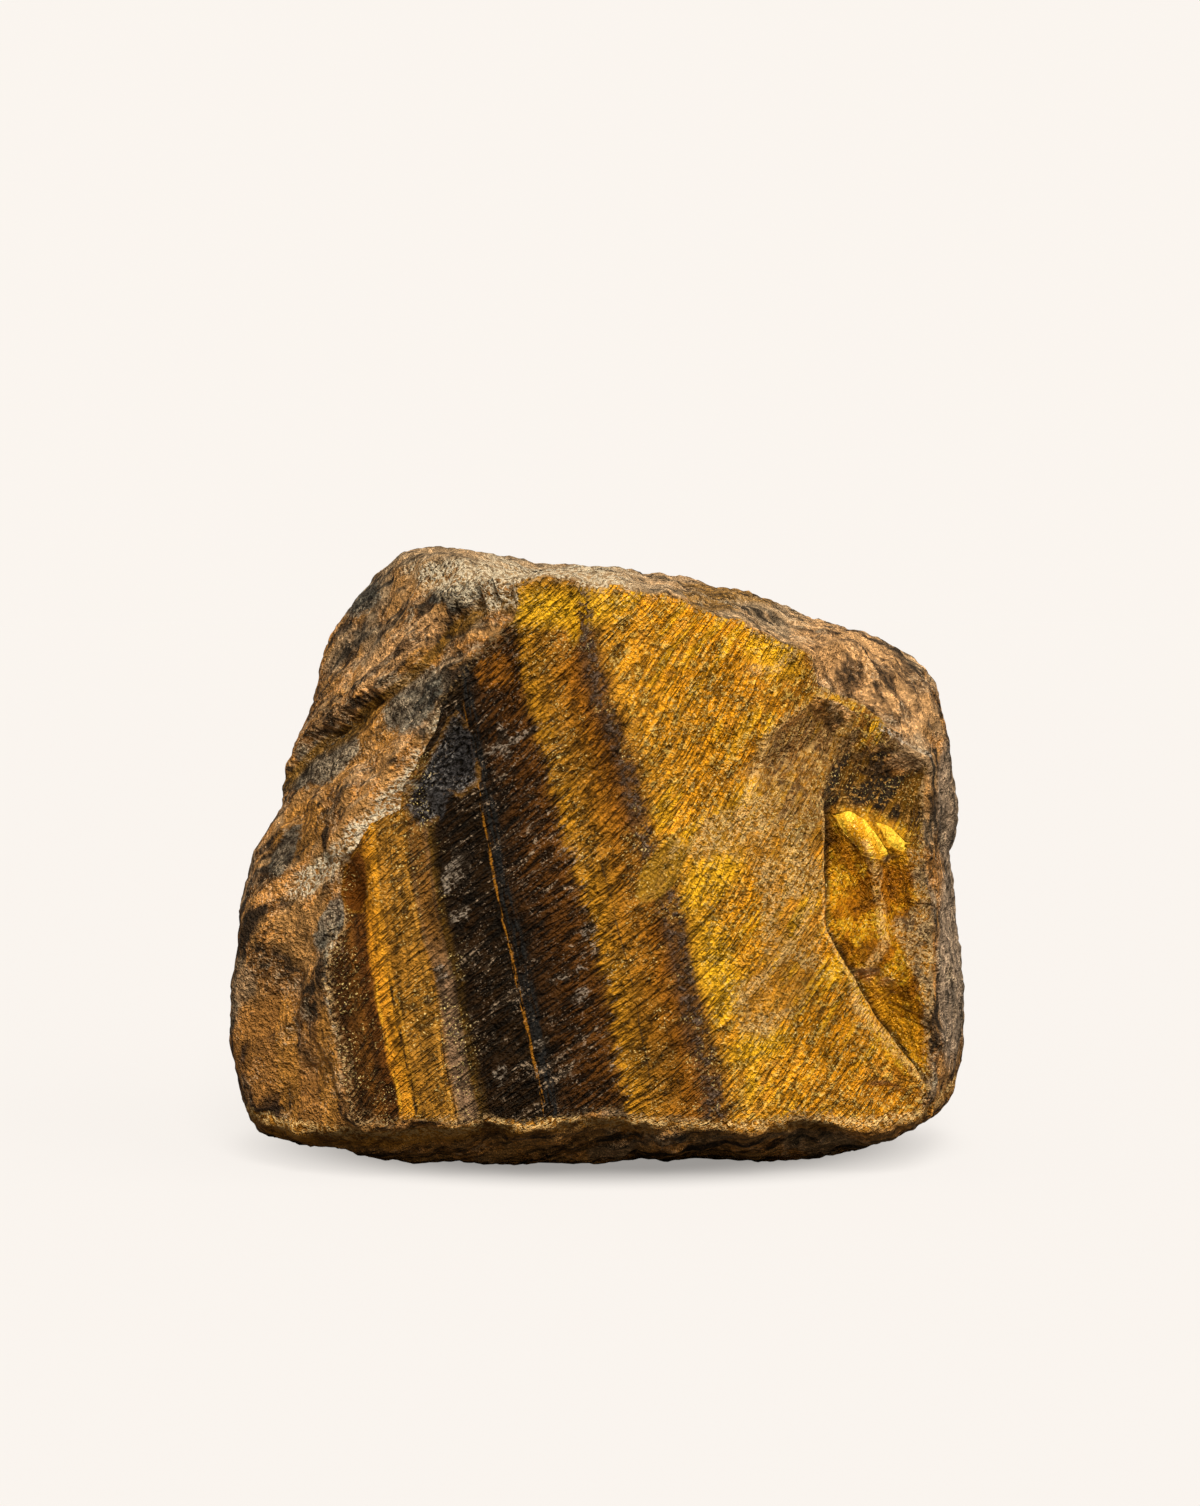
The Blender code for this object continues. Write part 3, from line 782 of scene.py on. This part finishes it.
class Paint:
    """The nodes of one material or of the room, and the one way to add to them."""

    def __init__(self, tree):
        self.tree = tree

    def plug(self, value, socket):
        """Links a number to a socket, or writes a plain value or a colour into it."""
        if isinstance(value, Number):
            self.tree.links.new(value.socket, socket)
        elif hasattr(socket.default_value, "__len__") and len(value) == 3 and len(socket.default_value) == 4:
            socket.default_value = (*value, 1.0)
        else:
            socket.default_value = value

    def node(self, kind, settings=None, inputs=None, output=0):
        """Adds a node, sets it up, fills its sockets with values or links, and gives back one output."""
        node = self.tree.nodes.new(kind)
        for name, value in (settings or {}).items():
            if name == "stops":
                self.stops(node.color_ramp, value)
            else:
                setattr(node, name, value)
        for name, value in (inputs or {}).items():
            self.plug(value, node.inputs[name])
        return Number(self, node.outputs[output])

    def stops(self, ramp, stops):
        """Gives a colour ramp its places and colours."""
        for _ in stops[2:]:
            ramp.elements.new(1.0)
        for element, (place, colour) in zip(ramp.elements, sorted(stops)):
            element.position = place
            element.color = (*colour, 1.0)

    def mark(self, name):
        """One of the numbers that the mesh keeps at its corners."""
        return self.node("ShaderNodeAttribute", {"attribute_name": name}, output="Fac")

    def place(self, x, y, z):
        """Three numbers as one place, at which a noise can be read."""
        return self.node("ShaderNodeCombineXYZ", {}, {0: x, 1: y, 2: z})

    def noise(self, place, scale, detail=3.0, roughness=0.5):
        """Soft lumps from 0 to 1, with an average of a half."""
        return self.node("ShaderNodeTexNoise", {}, {
            "Vector": place, "Scale": scale, "Detail": detail, "Roughness": roughness,
        }, "Fac")

    def rise(self, value, low, high):
        """0 at low, 1 at high, and a smooth rise between them. With low above high it falls."""
        return self.node("ShaderNodeMapRange", {"interpolation_type": "SMOOTHSTEP"}, {
            "Value": value, "From Min": low, "From Max": high,
        })

    def line(self, value, middle, width):
        """1 where a value is at its middle, sinking to 0 at a width to either side."""
        return self.rise(abs(value - middle), width, width * 0.3)

    def mix(self, share, first, second):
        """The first colour where share is 0 and the second where it is 1."""
        return self.node("ShaderNodeMix", {"data_type": "RGBA"}, {0: share, 6: first, 7: second}, 2)

    def blend(self, value, low, high, first, second):
        """The first colour where a value is at low or below, the second where it is at high or above."""
        return self.mix(self.rise(value, low, high), first, second)

    def tint(self, colour, amount):
        """A colour made lighter or darker by a number."""
        return self.node("ShaderNodeVectorMath", {"operation": "SCALE"}, {0: colour, "Scale": amount})

    def larger(self, first, second):
        """The larger of two numbers."""
        return self.node("ShaderNodeMath", {"operation": "MAXIMUM"}, {0: first, 1: second})


# %% [markdown]
# ## Patterns that the colours share
#
# Every colour of this stone is broken up by the same few things. Fibres are noise that is long along the
# strands. Streaks are noise that is long along the bands. Cracks are the lines where a slow noise passes
# one value, as a contour on a map. Squiggles are the same lines of a fine noise; painted pale, they look
# like crumbs, and in most places they are painted glints.

# %% Shared patterns
material = bpy.data.materials.new("banded_quartz")
material.use_nodes = True
shader = material.node_tree.nodes["Principled BSDF"]
paint = Paint(material.node_tree)
mark, mix, blend, tint = paint.mark, paint.mix, paint.blend, paint.tint
rise, line, larger = paint.rise, paint.line, paint.larger
position = paint.node("ShaderNodeVectorMath", {"operation": "SCALE"}, {
    0: paint.node("ShaderNodeTexCoord", output="Object"), "Scale": 1 / MM,
})
depth = paint.node("ShaderNodeSeparateXYZ", {}, {0: position}, 1)
height = paint.node("ShaderNodeSeparateXYZ", {}, {0: position}, 2)
band_mark, strand_mark, edge_mark = mark("band"), mark("strand"), mark("edge")
along_fibres = paint.place(strand_mark, band_mark * 0.18, depth * 0.4)
along_bands = paint.place(band_mark, strand_mark * 0.10, depth * 0.4)

slow = paint.noise(position, 0.11, 2.0, 0.55)
blotches = paint.noise(position, 0.27, 4.0, 0.6)
specks = paint.noise(position, 1.3, 3.0, 0.65)
crumbs = paint.noise(position, 2.6, 2.0, 0.6)
# pale squiggles: crumbs, and in most places painted glints
crumb_and_glint_squiggles = line(paint.noise(position, 1.15, 2.0, 0.6), 0.5, 0.085)
broad_fibres = paint.noise(along_fibres, 0.55, 3.0, 0.6)
hatch = paint.noise(along_fibres, 2.3, 2.0, 0.6)
scratches = line(paint.noise(along_fibres, 1.1, 2.0, 0.6), 0.5, 0.06)
band_streaks = paint.noise(along_bands, 1.2, 3.0, 0.65)
skin_streaks = paint.noise(paint.place(band_mark, height * 0.35, depth * 0.35), 0.34, 3.0, 0.65)
cracks = line(paint.noise(along_fibres, 0.33, 2.0, 0.55), 0.5, 0.020)
# sparks: fine pale dots, painted sparkle
sparks = rise(paint.noise(position, 4.5, 1.0, 0.5), 0.62, 0.69)
skin_lines = specks * 0.4 + skin_streaks * 0.6
print("thirteen shared patterns")

# %% Patch borders
PATCH_BORDERS = {                       # how far the border frays, and the marks between which it fades in
    "scar": (0.2, 0.05, 0.35), "glass": (0.7, 0.1, 0.5), "blue": (0.7, -0.2, 0.2), "lens": (0.4, -0.2, 0.4),
    "leaf": (0.15, -0.1, 0.2), "tan": (1.3, -0.6, 1.2), "valley": (1.0, -0.3, 0.6), "deep": (0.2, -0.2, 0.5),
    "hollow": (0.8, -0.4, 0.6), "rim": (1.0, -0.2, 0.5), "pale_grey": (0.2, 0.1, 0.5),
    "slab": (0.25, 0.0, 0.4), "rust": (0.5, 0.15, 0.5), "grey": (0.8, 0.1, 0.5), "covered": (0.3, -0.4, 0.3),
}
frayed = (specks - 0.5) * 1.5 + (blotches - 0.5) * 1.2
patch = {
    name: rise(mark(name) + frayed * fray, low, high)
    for name, (fray, low, high) in PATCH_BORDERS.items()
}
print(len(patch), "patches:", ", ".join(patch))

# %% [markdown]
# ## The banded quartz
#
# On a fresh face each band has its own colour: blue-black and dark red-brown where the fibres have not
# rusted, and olive to bright gold where they have. A colour ramp over the band number lays them out.
# Fibres from one band reach a little way into the next, so the number is shaken along the strands first.
# Thin threads of gold and black run between the bands, and they stay crisp.

# %% Band colours
BAND_SPAN = 90.0
BAND_START = -45.0
BAND_COLOURS = [
    (-40.0, (0.165, 0.069, 0.017)),
    (-29.5, (0.130, 0.050, 0.010)),
    (-28.0, (0.060, 0.020, 0.003)),
    (-26.4, (0.150, 0.052, 0.006)),
    (-25.4, (0.070, 0.022, 0.003)),
    (-24.6, (0.130, 0.040, 0.004)),
    (-24.2, (0.560, 0.205, 0.010)),
    (-23.0, (0.600, 0.240, 0.012)),
    (-22.5, (0.370, 0.150, 0.013)),
    (-20.0, (0.430, 0.180, 0.018)),
    (-19.2, (0.360, 0.145, 0.014)),
    (-18.9, (0.260, 0.142, 0.066)),
    (-17.3, (0.210, 0.115, 0.054)),
    (-16.9, (0.110, 0.050, 0.005)),
    (-15.9, (0.016, 0.006, 0.001)),
    (-10.5, (0.012, 0.005, 0.001)),
    (-9.0, (0.020, 0.008, 0.002)),
    (-6.0, (0.055, 0.018, 0.002)),
    (-2.6, (0.085, 0.028, 0.003)),
    (-1.8, (0.120, 0.045, 0.004)),
    (-0.8, (0.540, 0.225, 0.010)),
    (1.4, (0.410, 0.165, 0.011)),
    (3.2, (0.460, 0.170, 0.010)),
    (5.2, (0.360, 0.120, 0.007)),
    (6.6, (0.140, 0.056, 0.015)),
    (8.2, (0.210, 0.084, 0.015)),
    (10.0, (0.980, 0.400, 0.018)),
    (16.0, (0.940, 0.360, 0.009)),
    (25.0, (0.860, 0.315, 0.007)),
    (32.0, (0.330, 0.120, 0.010)),
    (40.0, (0.200, 0.090, 0.020)),
]
not_left = rise(band_mark, -17.0, -14.5)
shake = (broad_fibres - 0.5) * 2.6 + (hatch - 0.5)
shaken = band_mark + shake * (0.2 + 0.8 * not_left) + (slow - 0.5) * 1.4
banded = paint.node("ShaderNodeValToRGB", {
    "stops": [((place - BAND_START) / BAND_SPAN, colour) for place, colour in BAND_COLOURS],
}, {0: (shaken - BAND_START) / BAND_SPAN})
print(len(BAND_COLOURS), "band colours")

# %% Fibres in the bands
in_gold = rise(shaken, -1.6, -0.6)
in_left = 1 - not_left
in_dark = (1 - in_gold) * not_left
grain = rise(hatch, 0.39, 0.58)
fibre_light = 0.58 + grain * (0.58 + in_dark * 0.8) - in_dark * 0.38
streak_light = 0.45 + rise(band_streaks, 0.38, 0.6) * 0.65 + rise(crumbs, 0.38, 0.62) * 0.35
light = fibre_light + (streak_light - fibre_light) * in_left
fresh = tint(banded, light * (0.7 + slow * 0.6))
upper_strip = line(band_mark, -18.1, 1.5) * rise(height, 20.0, 28.0)
fresh = mix(upper_strip * 0.9, fresh, tint((0.19, 0.072, 0.006), light))
olive_share = rise(blotches * 0.6 + broad_fibres * 0.4, 0.49, 0.58) * in_gold
fresh = mix(olive_share * 0.55, fresh, tint((0.4, 0.165, 0.016), light))
in_bright = rise(shaken, 8.8, 10.2)
crusty = rise(blotches * 0.7 + specks * 0.3, 0.46, 0.4) * in_bright
fresh = mix(crusty * 0.45, fresh, tint((0.6, 0.275, 0.048), light))
# bright yellow patches along the fibres: painted chatoyant sheen
painted_sheen = rise(broad_fibres, 0.5, 0.58) * rise(slow, 0.42, 0.55) * in_bright
fresh = mix(painted_sheen * 0.8, fresh, tint((1.0, 0.48, 0.012), light))
# bright ovals: brighter gold, and painted light where the top chip's wall and the facet under the crest face
# away from the lamps
fresh = mix(mark("bright") * 0.9, fresh, tint((1.0, 0.5, 0.014), light * 0.6 + 0.45))
fresh = tint(fresh, 1 - scratches * rise(specks, 0.38, 0.54) * 0.75)
fresh = tint(fresh, 1 - cracks * in_gold * 0.4)
# pale yellow squiggles on the bright gold: painted glints
fresh = mix(crumb_and_glint_squiggles * in_bright * rise(specks, 0.48, 0.6) * 0.65, fresh, (1.0, 0.6, 0.11))

# %% Threads
thread_mark = band_mark + (slow - 0.5) * 0.7 + (specks - 0.5) * 0.16 + (crumbs - 0.5) * 0.3
beads = rise(paint.noise(along_bands, 3.2, 2.0, 0.6), 0.43, 0.54)
THREADS = [                             # place across the bands, half width, colour, strength, top
    (-24.2, 0.26, (0.8, 0.36, 0.02), 0.9, 26.0),
    (-22.9, 0.2, (0.02, 0.008, 0.002), 0.9, 25.0),
    (-22.5, 0.14, (0.62, 0.28, 0.025), 0.7, 22.0),
    (-21.3, 0.12, (0.1, 0.05, 0.01), 0.6, 40.0),
    (-19.6, 0.26, (0.62, 0.27, 0.03), 0.8, 36.0),
    (-19.2, 0.16, (0.03, 0.012, 0.003), 0.9, 20.0),
    (-9.6, 0.95, (0.012, 0.012, 0.011), 0.95, 60.0),
    (-10.5, 0.22, (0.42, 0.155, 0.01), 0.8, 52.0),
    (1.4, 0.16, (0.06, 0.03, 0.01), 0.7, 42.0),
    (4.2, 0.12, (0.08, 0.035, 0.006), 0.5, 60.0),
]
for place, width, thread_colour, strength, top in THREADS:
    share = line(thread_mark, place, width) * beads * strength
    fresh = mix(share * rise(height, top, top - 4.0), fresh, thread_colour)
dark_specks = line(thread_mark, 7.4, 1.5) * rise(specks, 0.47, 0.54)
specked = mix(crumb_and_glint_squiggles, (0.05, 0.026, 0.012), (0.15, 0.095, 0.06))
fresh = mix(dark_specks * 0.8, fresh, specked)
fresh = mix(patch["scar"] * 0.85, fresh, tint((0.44, 0.215, 0.014), light))
print(len(THREADS), "threads")

# %% [markdown]
# ## Broken places
#
# The dark bands have broken in small glassy steps that follow the fibres, and each step's white glint is
# painted into the colour. On the right, flakes have left a tan crust, a hollow whose black is painted shade
# with painted orange glints, wet-looking gold bowls and two bright splinters, their yellow partly painted
# sheen.

# %% Glassy steps
# glints: where painted white glints go; the surface there is also smoother
glints = rise(crumbs, 0.5, 0.58) * rise(specks, 0.47, 0.57)
glassy = cracks * in_dark * rise(slow * 0.5 + blotches * 0.5, 0.47, 0.54)
fresh = mix(glassy * (0.05 + 0.85 * glints), fresh, (0.42, 0.28, 0.16))
# glass chips: dark, with pale squiggles as painted glints
glass = mix(crumb_and_glint_squiggles * grain, (0.02, 0.011, 0.005), (0.36, 0.27, 0.18))
fresh = mix(patch["glass"] * 0.7, fresh, glass)
blue = tint((0.05, 0.044, 0.04), rise(specks * 0.5 + crumbs * 0.5, 0.38, 0.62))
# pale squiggles on the blue-black facets: painted glints
blue = mix(crumb_and_glint_squiggles * glints * rise(blotches, 0.44, 0.56) * 0.7, blue, (0.3, 0.26, 0.21))
blue_border = rise(mark("blue"), 0.7, 0.0) * rise(blotches, 0.47, 0.52)
blue = mix(blue_border * 0.8, blue, (0.22, 0.095, 0.012))
fresh = mix(patch["blue"] * 0.95, fresh, blue)
fresh = mix(patch["lens"] * 0.85, fresh, tint((0.24, 0.08, 0.006), light))
leaf = tint((0.12, 0.034, 0.002), 0.4 + band_streaks * 1.3)
leaf = mix(rise(mark("leaf"), 0.4, 0.0) * 0.5, leaf, (0.42, 0.17, 0.01))

# %% Broken places on the right
crusted = rise(specks * 0.4 + blotches * 0.6, 0.38, 0.5)
tan_share = patch["tan"] * crusted
tan = tint((0.5, 0.22, 0.03), 0.46 + rise(crumbs * 0.6 + specks * 0.4, 0.4, 0.6) * 0.7)
tan = mix(crumb_and_glint_squiggles * rise(blotches, 0.44, 0.56) * 0.6, tan, (0.9, 0.58, 0.22))
fresh = mix(tan_share * 0.75, fresh, tan)
fibrous = blotches * 0.5 + broad_fibres * 0.5
valley = blend(fibrous, 0.44, 0.54, (0.1, 0.052, 0.022), (0.34, 0.145, 0.016))
valley = mix(crumb_and_glint_squiggles * 0.5, valley, (0.56, 0.33, 0.12))
fresh = mix(patch["valley"] * 0.8, fresh, tint(valley, 0.6 + rise(specks, 0.38, 0.62) * 0.6))
deep = blend(blotches, 0.42, 0.54, (0.36, 0.12, 0.004), (0.62, 0.245, 0.005))
deep = tint(deep, 0.6 + rise(band_streaks, 0.4, 0.58) * 0.75)
deep = mix(rise(specks * 0.7 + blotches * 0.3, 0.44, 0.38) * 0.8, deep, (0.075, 0.022, 0.003))
deep = mix(crumb_and_glint_squiggles * rise(blotches, 0.46, 0.54) * 0.5, deep, (1.0, 0.58, 0.03))
fresh = mix(patch["deep"] * 0.92, fresh, deep)
# the hollow under the shoulder: near-black to dark brown painted shade, with painted orange glints
hollow = blend(broad_fibres, 0.46, 0.56, (0.014, 0.011, 0.008), (0.15, 0.06, 0.005))
hollow = mix(crumb_and_glint_squiggles * glints * 0.7, tint(hollow, light), (0.6, 0.28, 0.06))
fresh = mix(patch["hollow"] * 0.95, fresh, hollow)
fresh = tint(fresh, 1 - mark("dim") * 0.4)
# amber: deep gold around the splinters and in the low hollow, and painted light on the facet under the crest
amber = tint((0.86, 0.37, 0.012), 0.55 + rise(band_streaks, 0.4, 0.58) * 0.5)
fresh = mix(mark("amber") * 0.9 * (1 - patch["hollow"]), fresh, amber)
rim = blend(blotches, 0.42, 0.54, (0.12, 0.072, 0.034), (0.5, 0.2, 0.022))
rim = mix(crumb_and_glint_squiggles * 0.7, tint(rim, 0.5 + specks), (0.7, 0.46, 0.2))
fresh = mix(patch["rim"] * 0.85, fresh, rim)
# the splinters: gold, made bright yellow as partly painted sheen
flake_share = rise(mark("flake"), 0.3, 0.6)
flake = blend(band_streaks, 0.42, 0.56, (0.8, 0.34, 0.01), (1.0, 0.58, 0.04))
fresh = mix(flake_share, fresh, flake)
crack_mark = mark("crack") + (specks - 0.5) * 0.3
ridge_share = rise(mark("ridge") + (specks - 0.5) * 0.8, 0.75, 0.15)
# pale along the ridges and the crack's left lip: painted highlight on the edges, broken up by crumbs
pale = larger(line(crack_mark, -0.35, 0.45), ridge_share) * rise(crumbs, 0.4, 0.54)
fresh = mix(pale * 0.6, fresh, mix(in_bright, (0.42, 0.2, 0.03), (0.95, 0.56, 0.18)))
# a near-black line on the crack's right side: painted shadow in the crack
fresh = mix(line(crack_mark, 0.35, 0.55) * 0.9, fresh, (0.03, 0.014, 0.004))

# %% [markdown]
# ## The weathered skin
#
# The skin is brown and grey, with rust where iron has come out and pale crumbs where quartz shows through.
# Ridges follow the fibres, so dark and light lines run with them, and the bands show faintly. Some of its
# light and shade is painted: faces turned up or down are painted lighter, the darkest lines are painted
# crevice shade, and pale squiggles are painted glints.

# %% Skin colours
skin = blend(skin_streaks, 0.41, 0.55, (0.084, 0.044, 0.019), (0.34, 0.16, 0.043))
skin = mix(rise(blotches, 0.48, 0.56) * 0.65, skin, (0.38, 0.14, 0.018))
skin = mix(rise(slow, 0.52, 0.6) * 0.5, skin, (0.2, 0.15, 0.09))
# faces turned up are painted lighter and greyer: painted light from above
skin = mix(rise(mark("up"), 0.45, 0.85) * 0.6, skin, (0.42, 0.28, 0.145))
dark_share = rise(mark("dark_brown") + (skin_streaks - 0.5) * 0.8, 0.1, 0.6)
dark_skin = blend(skin_streaks, 0.42, 0.56, (0.08, 0.038, 0.018), (0.25, 0.098, 0.017))
skin = mix(dark_share * 0.8, skin, dark_skin)
pale_skin = tint((0.215, 0.152, 0.096), 1.0 + rise(height, 36.0, 28.0) * 0.45)
skin = mix(patch["pale_grey"] * 0.85, skin, pale_skin)
slab = blend(skin_streaks, 0.42, 0.54, (0.24, 0.12, 0.045), (0.5, 0.255, 0.09))
skin = mix(patch["slab"] * 0.8, skin, slab)
skin = mix(patch["rust"] * 0.85, skin, (0.36, 0.15, 0.024))
grey = blend(specks, 0.42, 0.56, (0.03, 0.031, 0.027), (0.105, 0.094, 0.066))
skin = mix(patch["grey"] * 0.85, skin, grey)
# the ledge's foot: gold wall under the slab painted dark gold-brown as painted shade; blue-black further left
# is its own colour
foot = rise(mark("ledge"), -1.6, -0.6) * rise(mark("ledge"), 1.0, 0.2)
foot_colour = blend(band_mark, -42.0, -50.0, (0.2, 0.09, 0.01), (0.04, 0.04, 0.032))
skin = mix(foot * 0.85, skin, foot_colour)
skin = tint(skin, 0.35 + rise(skin_lines, 0.4, 0.58) * 0.95)
far_back = rise(depth, -2.0, 14.0)
dull = blend(specks, 0.4, 0.6, (0.14, 0.078, 0.034), (0.34, 0.185, 0.072))
skin = mix(far_back * 0.6, skin, dull)
# near-black in the darkest skin lines: painted shade in the crevices, less on the back
crevice_shade = rise(skin_lines, 0.44, 0.37) * (0.85 - 0.65 * far_back)
skin = mix(crevice_shade, skin, (0.028, 0.018, 0.01))
cream_share = rise(mark("cream") + (blotches - 0.5) * 2.0, 0.0, 0.8) * (1 - far_back)
skin = mix(cream_share * rise(crumbs, 0.44, 0.54) * 0.6, skin, (0.42, 0.27, 0.12))
# pale squiggles on the skin: the skin made 2.4 times lighter or cream, painted glints
cream_glint = mix(cream_share, tint(skin, 2.4), (0.8, 0.64, 0.4))
broken = rise(specks * 0.5 + blotches * 0.5, 0.46, 0.54)
skin = mix(crumb_and_glint_squiggles * larger(broken * 0.65, cream_share * 0.85), skin, cream_glint)

# %% Skin over quartz
ragged = edge_mark + (specks - 0.5) * 1.3 + (crumbs - 0.5) * 0.6 - patch["covered"] * 6
fresh_share = rise(ragged, -0.1, 0.25)
crumbly = rise(edge_mark, 1.1, 0.2) * rise(crumbs, 0.48, 0.58) * (1 - in_dark * 0.6)
colour = mix(crumbly * 0.8, fresh, (0.58, 0.34, 0.13))
colour = mix(fresh_share, skin, colour)
colour = mix(patch["leaf"], colour, leaf)
# fine pale dots over the whole stone: painted sparkle, gold or grey on the split face and cream on the skin
fresh_spark = mix(in_dark, (1.0, 0.72, 0.24), (0.6, 0.42, 0.26))
spark_colour = mix(fresh_share, (0.8, 0.55, 0.3), fresh_spark)
spark_share = sparks * rise(blotches, 0.46, 0.56) * (0.6 - in_dark * fresh_share * 0.3)
colour = mix(spark_share, colour, spark_colour)
# a pale crumbly rim along the shoulder's lower edge: crumbs and painted highlight
crest = line(mark("crest") + (specks - 0.5) * 1.2, 0.1, 0.5) * rise(edge_mark, 1.5, 0.4)
crest = crest * rise(edge_mark, -2.2, -1.0) * rise(band_mark, 24.0, 27.0)
crest = crest * rise(crumbs, 0.42, 0.56)
colour = mix(crest * 0.9, colour, (0.74, 0.6, 0.42))
# faces turned down take the skin's colour made 1.4 times lighter: painted light on the underside
underside_painted_light = rise(mark("up"), -0.25, -0.6)
colour = mix(underside_painted_light * 0.85, colour, tint(skin, 1.4))
# the lip under the split face: its own orange-brown, made brighter as painted light because it faces down,
# with pale crumbs near its top
lip_mark = mark("lip") + (specks - 0.5) * 1.8 + (blotches - 0.5) * 1.6
lip_end = lip_mark - rise(band_mark, -22.0, -4.0) * 1.4
lip_share = rise(lip_mark, 0.9, 0.3) * rise(lip_end, -3.2, -1.6)
lip = blend(specks * 0.4 + blotches * 0.6, 0.44, 0.54, (0.25, 0.09, 0.008), (0.66, 0.27, 0.03))
lip = mix(crumb_and_glint_squiggles * rise(lip_mark, -1.5, 0.4), lip, (0.95, 0.58, 0.2))
colour = mix(lip_share * 0.9, colour, lip)

# %% Shine and small relief
BUMP_DEPTH = 0.0009
SILK_METALLIC = 0.15
SPECULAR_LEVEL = 0.14
WARM_GLINT = (1.0, 0.80, 0.55, 1.0)

gloss = larger(in_dark * 0.6, patch["deep"] * 0.8) * fresh_share * (1 - patch["hollow"]) * (1 - tan_share)
roughness = 0.64 - gloss * 0.30 - glints * 0.12 - in_gold * fresh_share * 0.10
silk = in_gold * fresh_share * (1 - tan_share) * (1 - patch["valley"]) * (1 - patch["hollow"])
relief = hatch * 0.9 - scratches * 0.35 - specks * 0.8
relief = relief * fresh_share + specks * 1.5 + crumbs * 0.5
relief = relief * (1 - flake_share * 0.6)
bump = paint.node("ShaderNodeBump", {}, {"Strength": 1.0, "Distance": BUMP_DEPTH, "Height": relief})
paint.plug(colour, shader.inputs["Base Color"])
paint.plug(roughness, shader.inputs["Roughness"])
paint.plug(silk * SILK_METALLIC, shader.inputs["Metallic"])
paint.plug(bump, shader.inputs["Normal"])
shader.inputs["Specular IOR Level"].default_value = SPECULAR_LEVEL
shader.inputs["Specular Tint"].default_value = WARM_GLINT
stone.data.materials.append(material)
print(len(paint.tree.nodes), "nodes in the stone's material")

# %% [markdown]
# ## Floor and light
#
# The stone stands on a plain, pale floor that runs into an equally pale background. The room seen by the
# camera is bright, but it lights the stone only a little, so that the dark bands stay dark. Three broad
# lamps do the lighting: one high in front, one to the right and one overhead. Close around the stone the
# floor's glow is dimmed in an oval, a painted shadow under the stone.

# %% Floor and light
BACKDROP = (0.962, 0.914, 0.864)
FLOOR_COLOUR = (0.070, 0.067, 0.0635)
FLOOR_GLOW = (0.848, 0.806, 0.763)
SHADE_REACH = (23.0, 36.0, 1.0)          # how fast the shade under the stone fades, along X and along Y
FLOOR_HALF = 3.0
FADE = (0.25, 0.8)
ROOM_LIGHT = 0.30

floor_mesh = bpy.data.meshes.new("floor")
floor_corners = [(x * FLOOR_HALF, y * FLOOR_HALF, 0) for x, y in ((-1, -1), (1, -1), (1, 1), (-1, 1))]
floor_mesh.from_pydata(floor_corners, [], [(0, 1, 2, 3)])
floor = bpy.data.objects.new("floor", floor_mesh)
bpy.context.scene.collection.objects.link(floor)

floor_material = bpy.data.materials.new("pale_floor")
floor_material.use_nodes = True
ground = Paint(floor_material.node_tree)
seen = ground.node("ShaderNodeLightPath", output="Is Camera Ray")
matt = ground.node("ShaderNodeBsdfDiffuse", {}, {"Color": FLOOR_COLOUR})
spot = ground.node("ShaderNodeTexCoord", output="Object")
away = ground.node("ShaderNodeVectorMath", {"operation": "LENGTH"}, {
    0: ground.node("ShaderNodeVectorMath", {"operation": "MULTIPLY"}, {0: spot, 1: SHADE_REACH}),
}, "Value")
# the floor's glow dimmed in an oval round the stone: painted shadow
outside_painted_shadow = 0.38 + 0.62 * ground.rise(away, 0.50, 0.98)
lit = ground.node("ShaderNodeAddShader", {}, {
    0: matt, 1: ground.node("ShaderNodeEmission", {}, {"Color": FLOOR_GLOW, "Strength": seen * outside_painted_shadow}),
})
glow = ground.node("ShaderNodeEmission", {}, {
    "Color": BACKDROP, "Strength": ROOM_LIGHT + seen * (1 - ROOM_LIGHT),
})
away = ground.node("ShaderNodeVectorMath", {"operation": "LENGTH"}, {0: spot}, "Value")
faded = ground.node("ShaderNodeMixShader", {}, {0: ground.rise(away, *FADE), 1: lit, 2: glow})
ground.plug(faded, ground.tree.nodes["Material Output"].inputs["Surface"])
floor_mesh.materials.append(floor_material)

world = bpy.data.worlds.new("soft_room")
world.use_nodes = True
room = Paint(world.node_tree)
background = world.node_tree.nodes["Background"]
background.inputs["Color"].default_value = (*BACKDROP, 1)
seen = room.node("ShaderNodeLightPath", output="Is Camera Ray")
room.plug(ROOM_LIGHT + seen * (1 - ROOM_LIGHT), background.inputs["Strength"])
bpy.context.scene.world = world


def lamp(name, turn, height, spread, power):
    """Parallel soft light from a turn to the right of the camera and a height, both in degrees."""
    data = bpy.data.lights.new(name, "SUN")
    data.energy = power
    data.angle = math.radians(spread)
    light = bpy.data.objects.new(name, data)
    light.rotation_euler = (math.radians(90 - height), 0, math.radians(turn))
    bpy.context.scene.collection.objects.link(light)


lamp("high in front", 8, 46, 20, 3.8)
lamp("on the right", 65, 35, 50, 1.1)
lamp("overhead", 0, 80, 90, 0.7)
print("three lamps and a pale room")
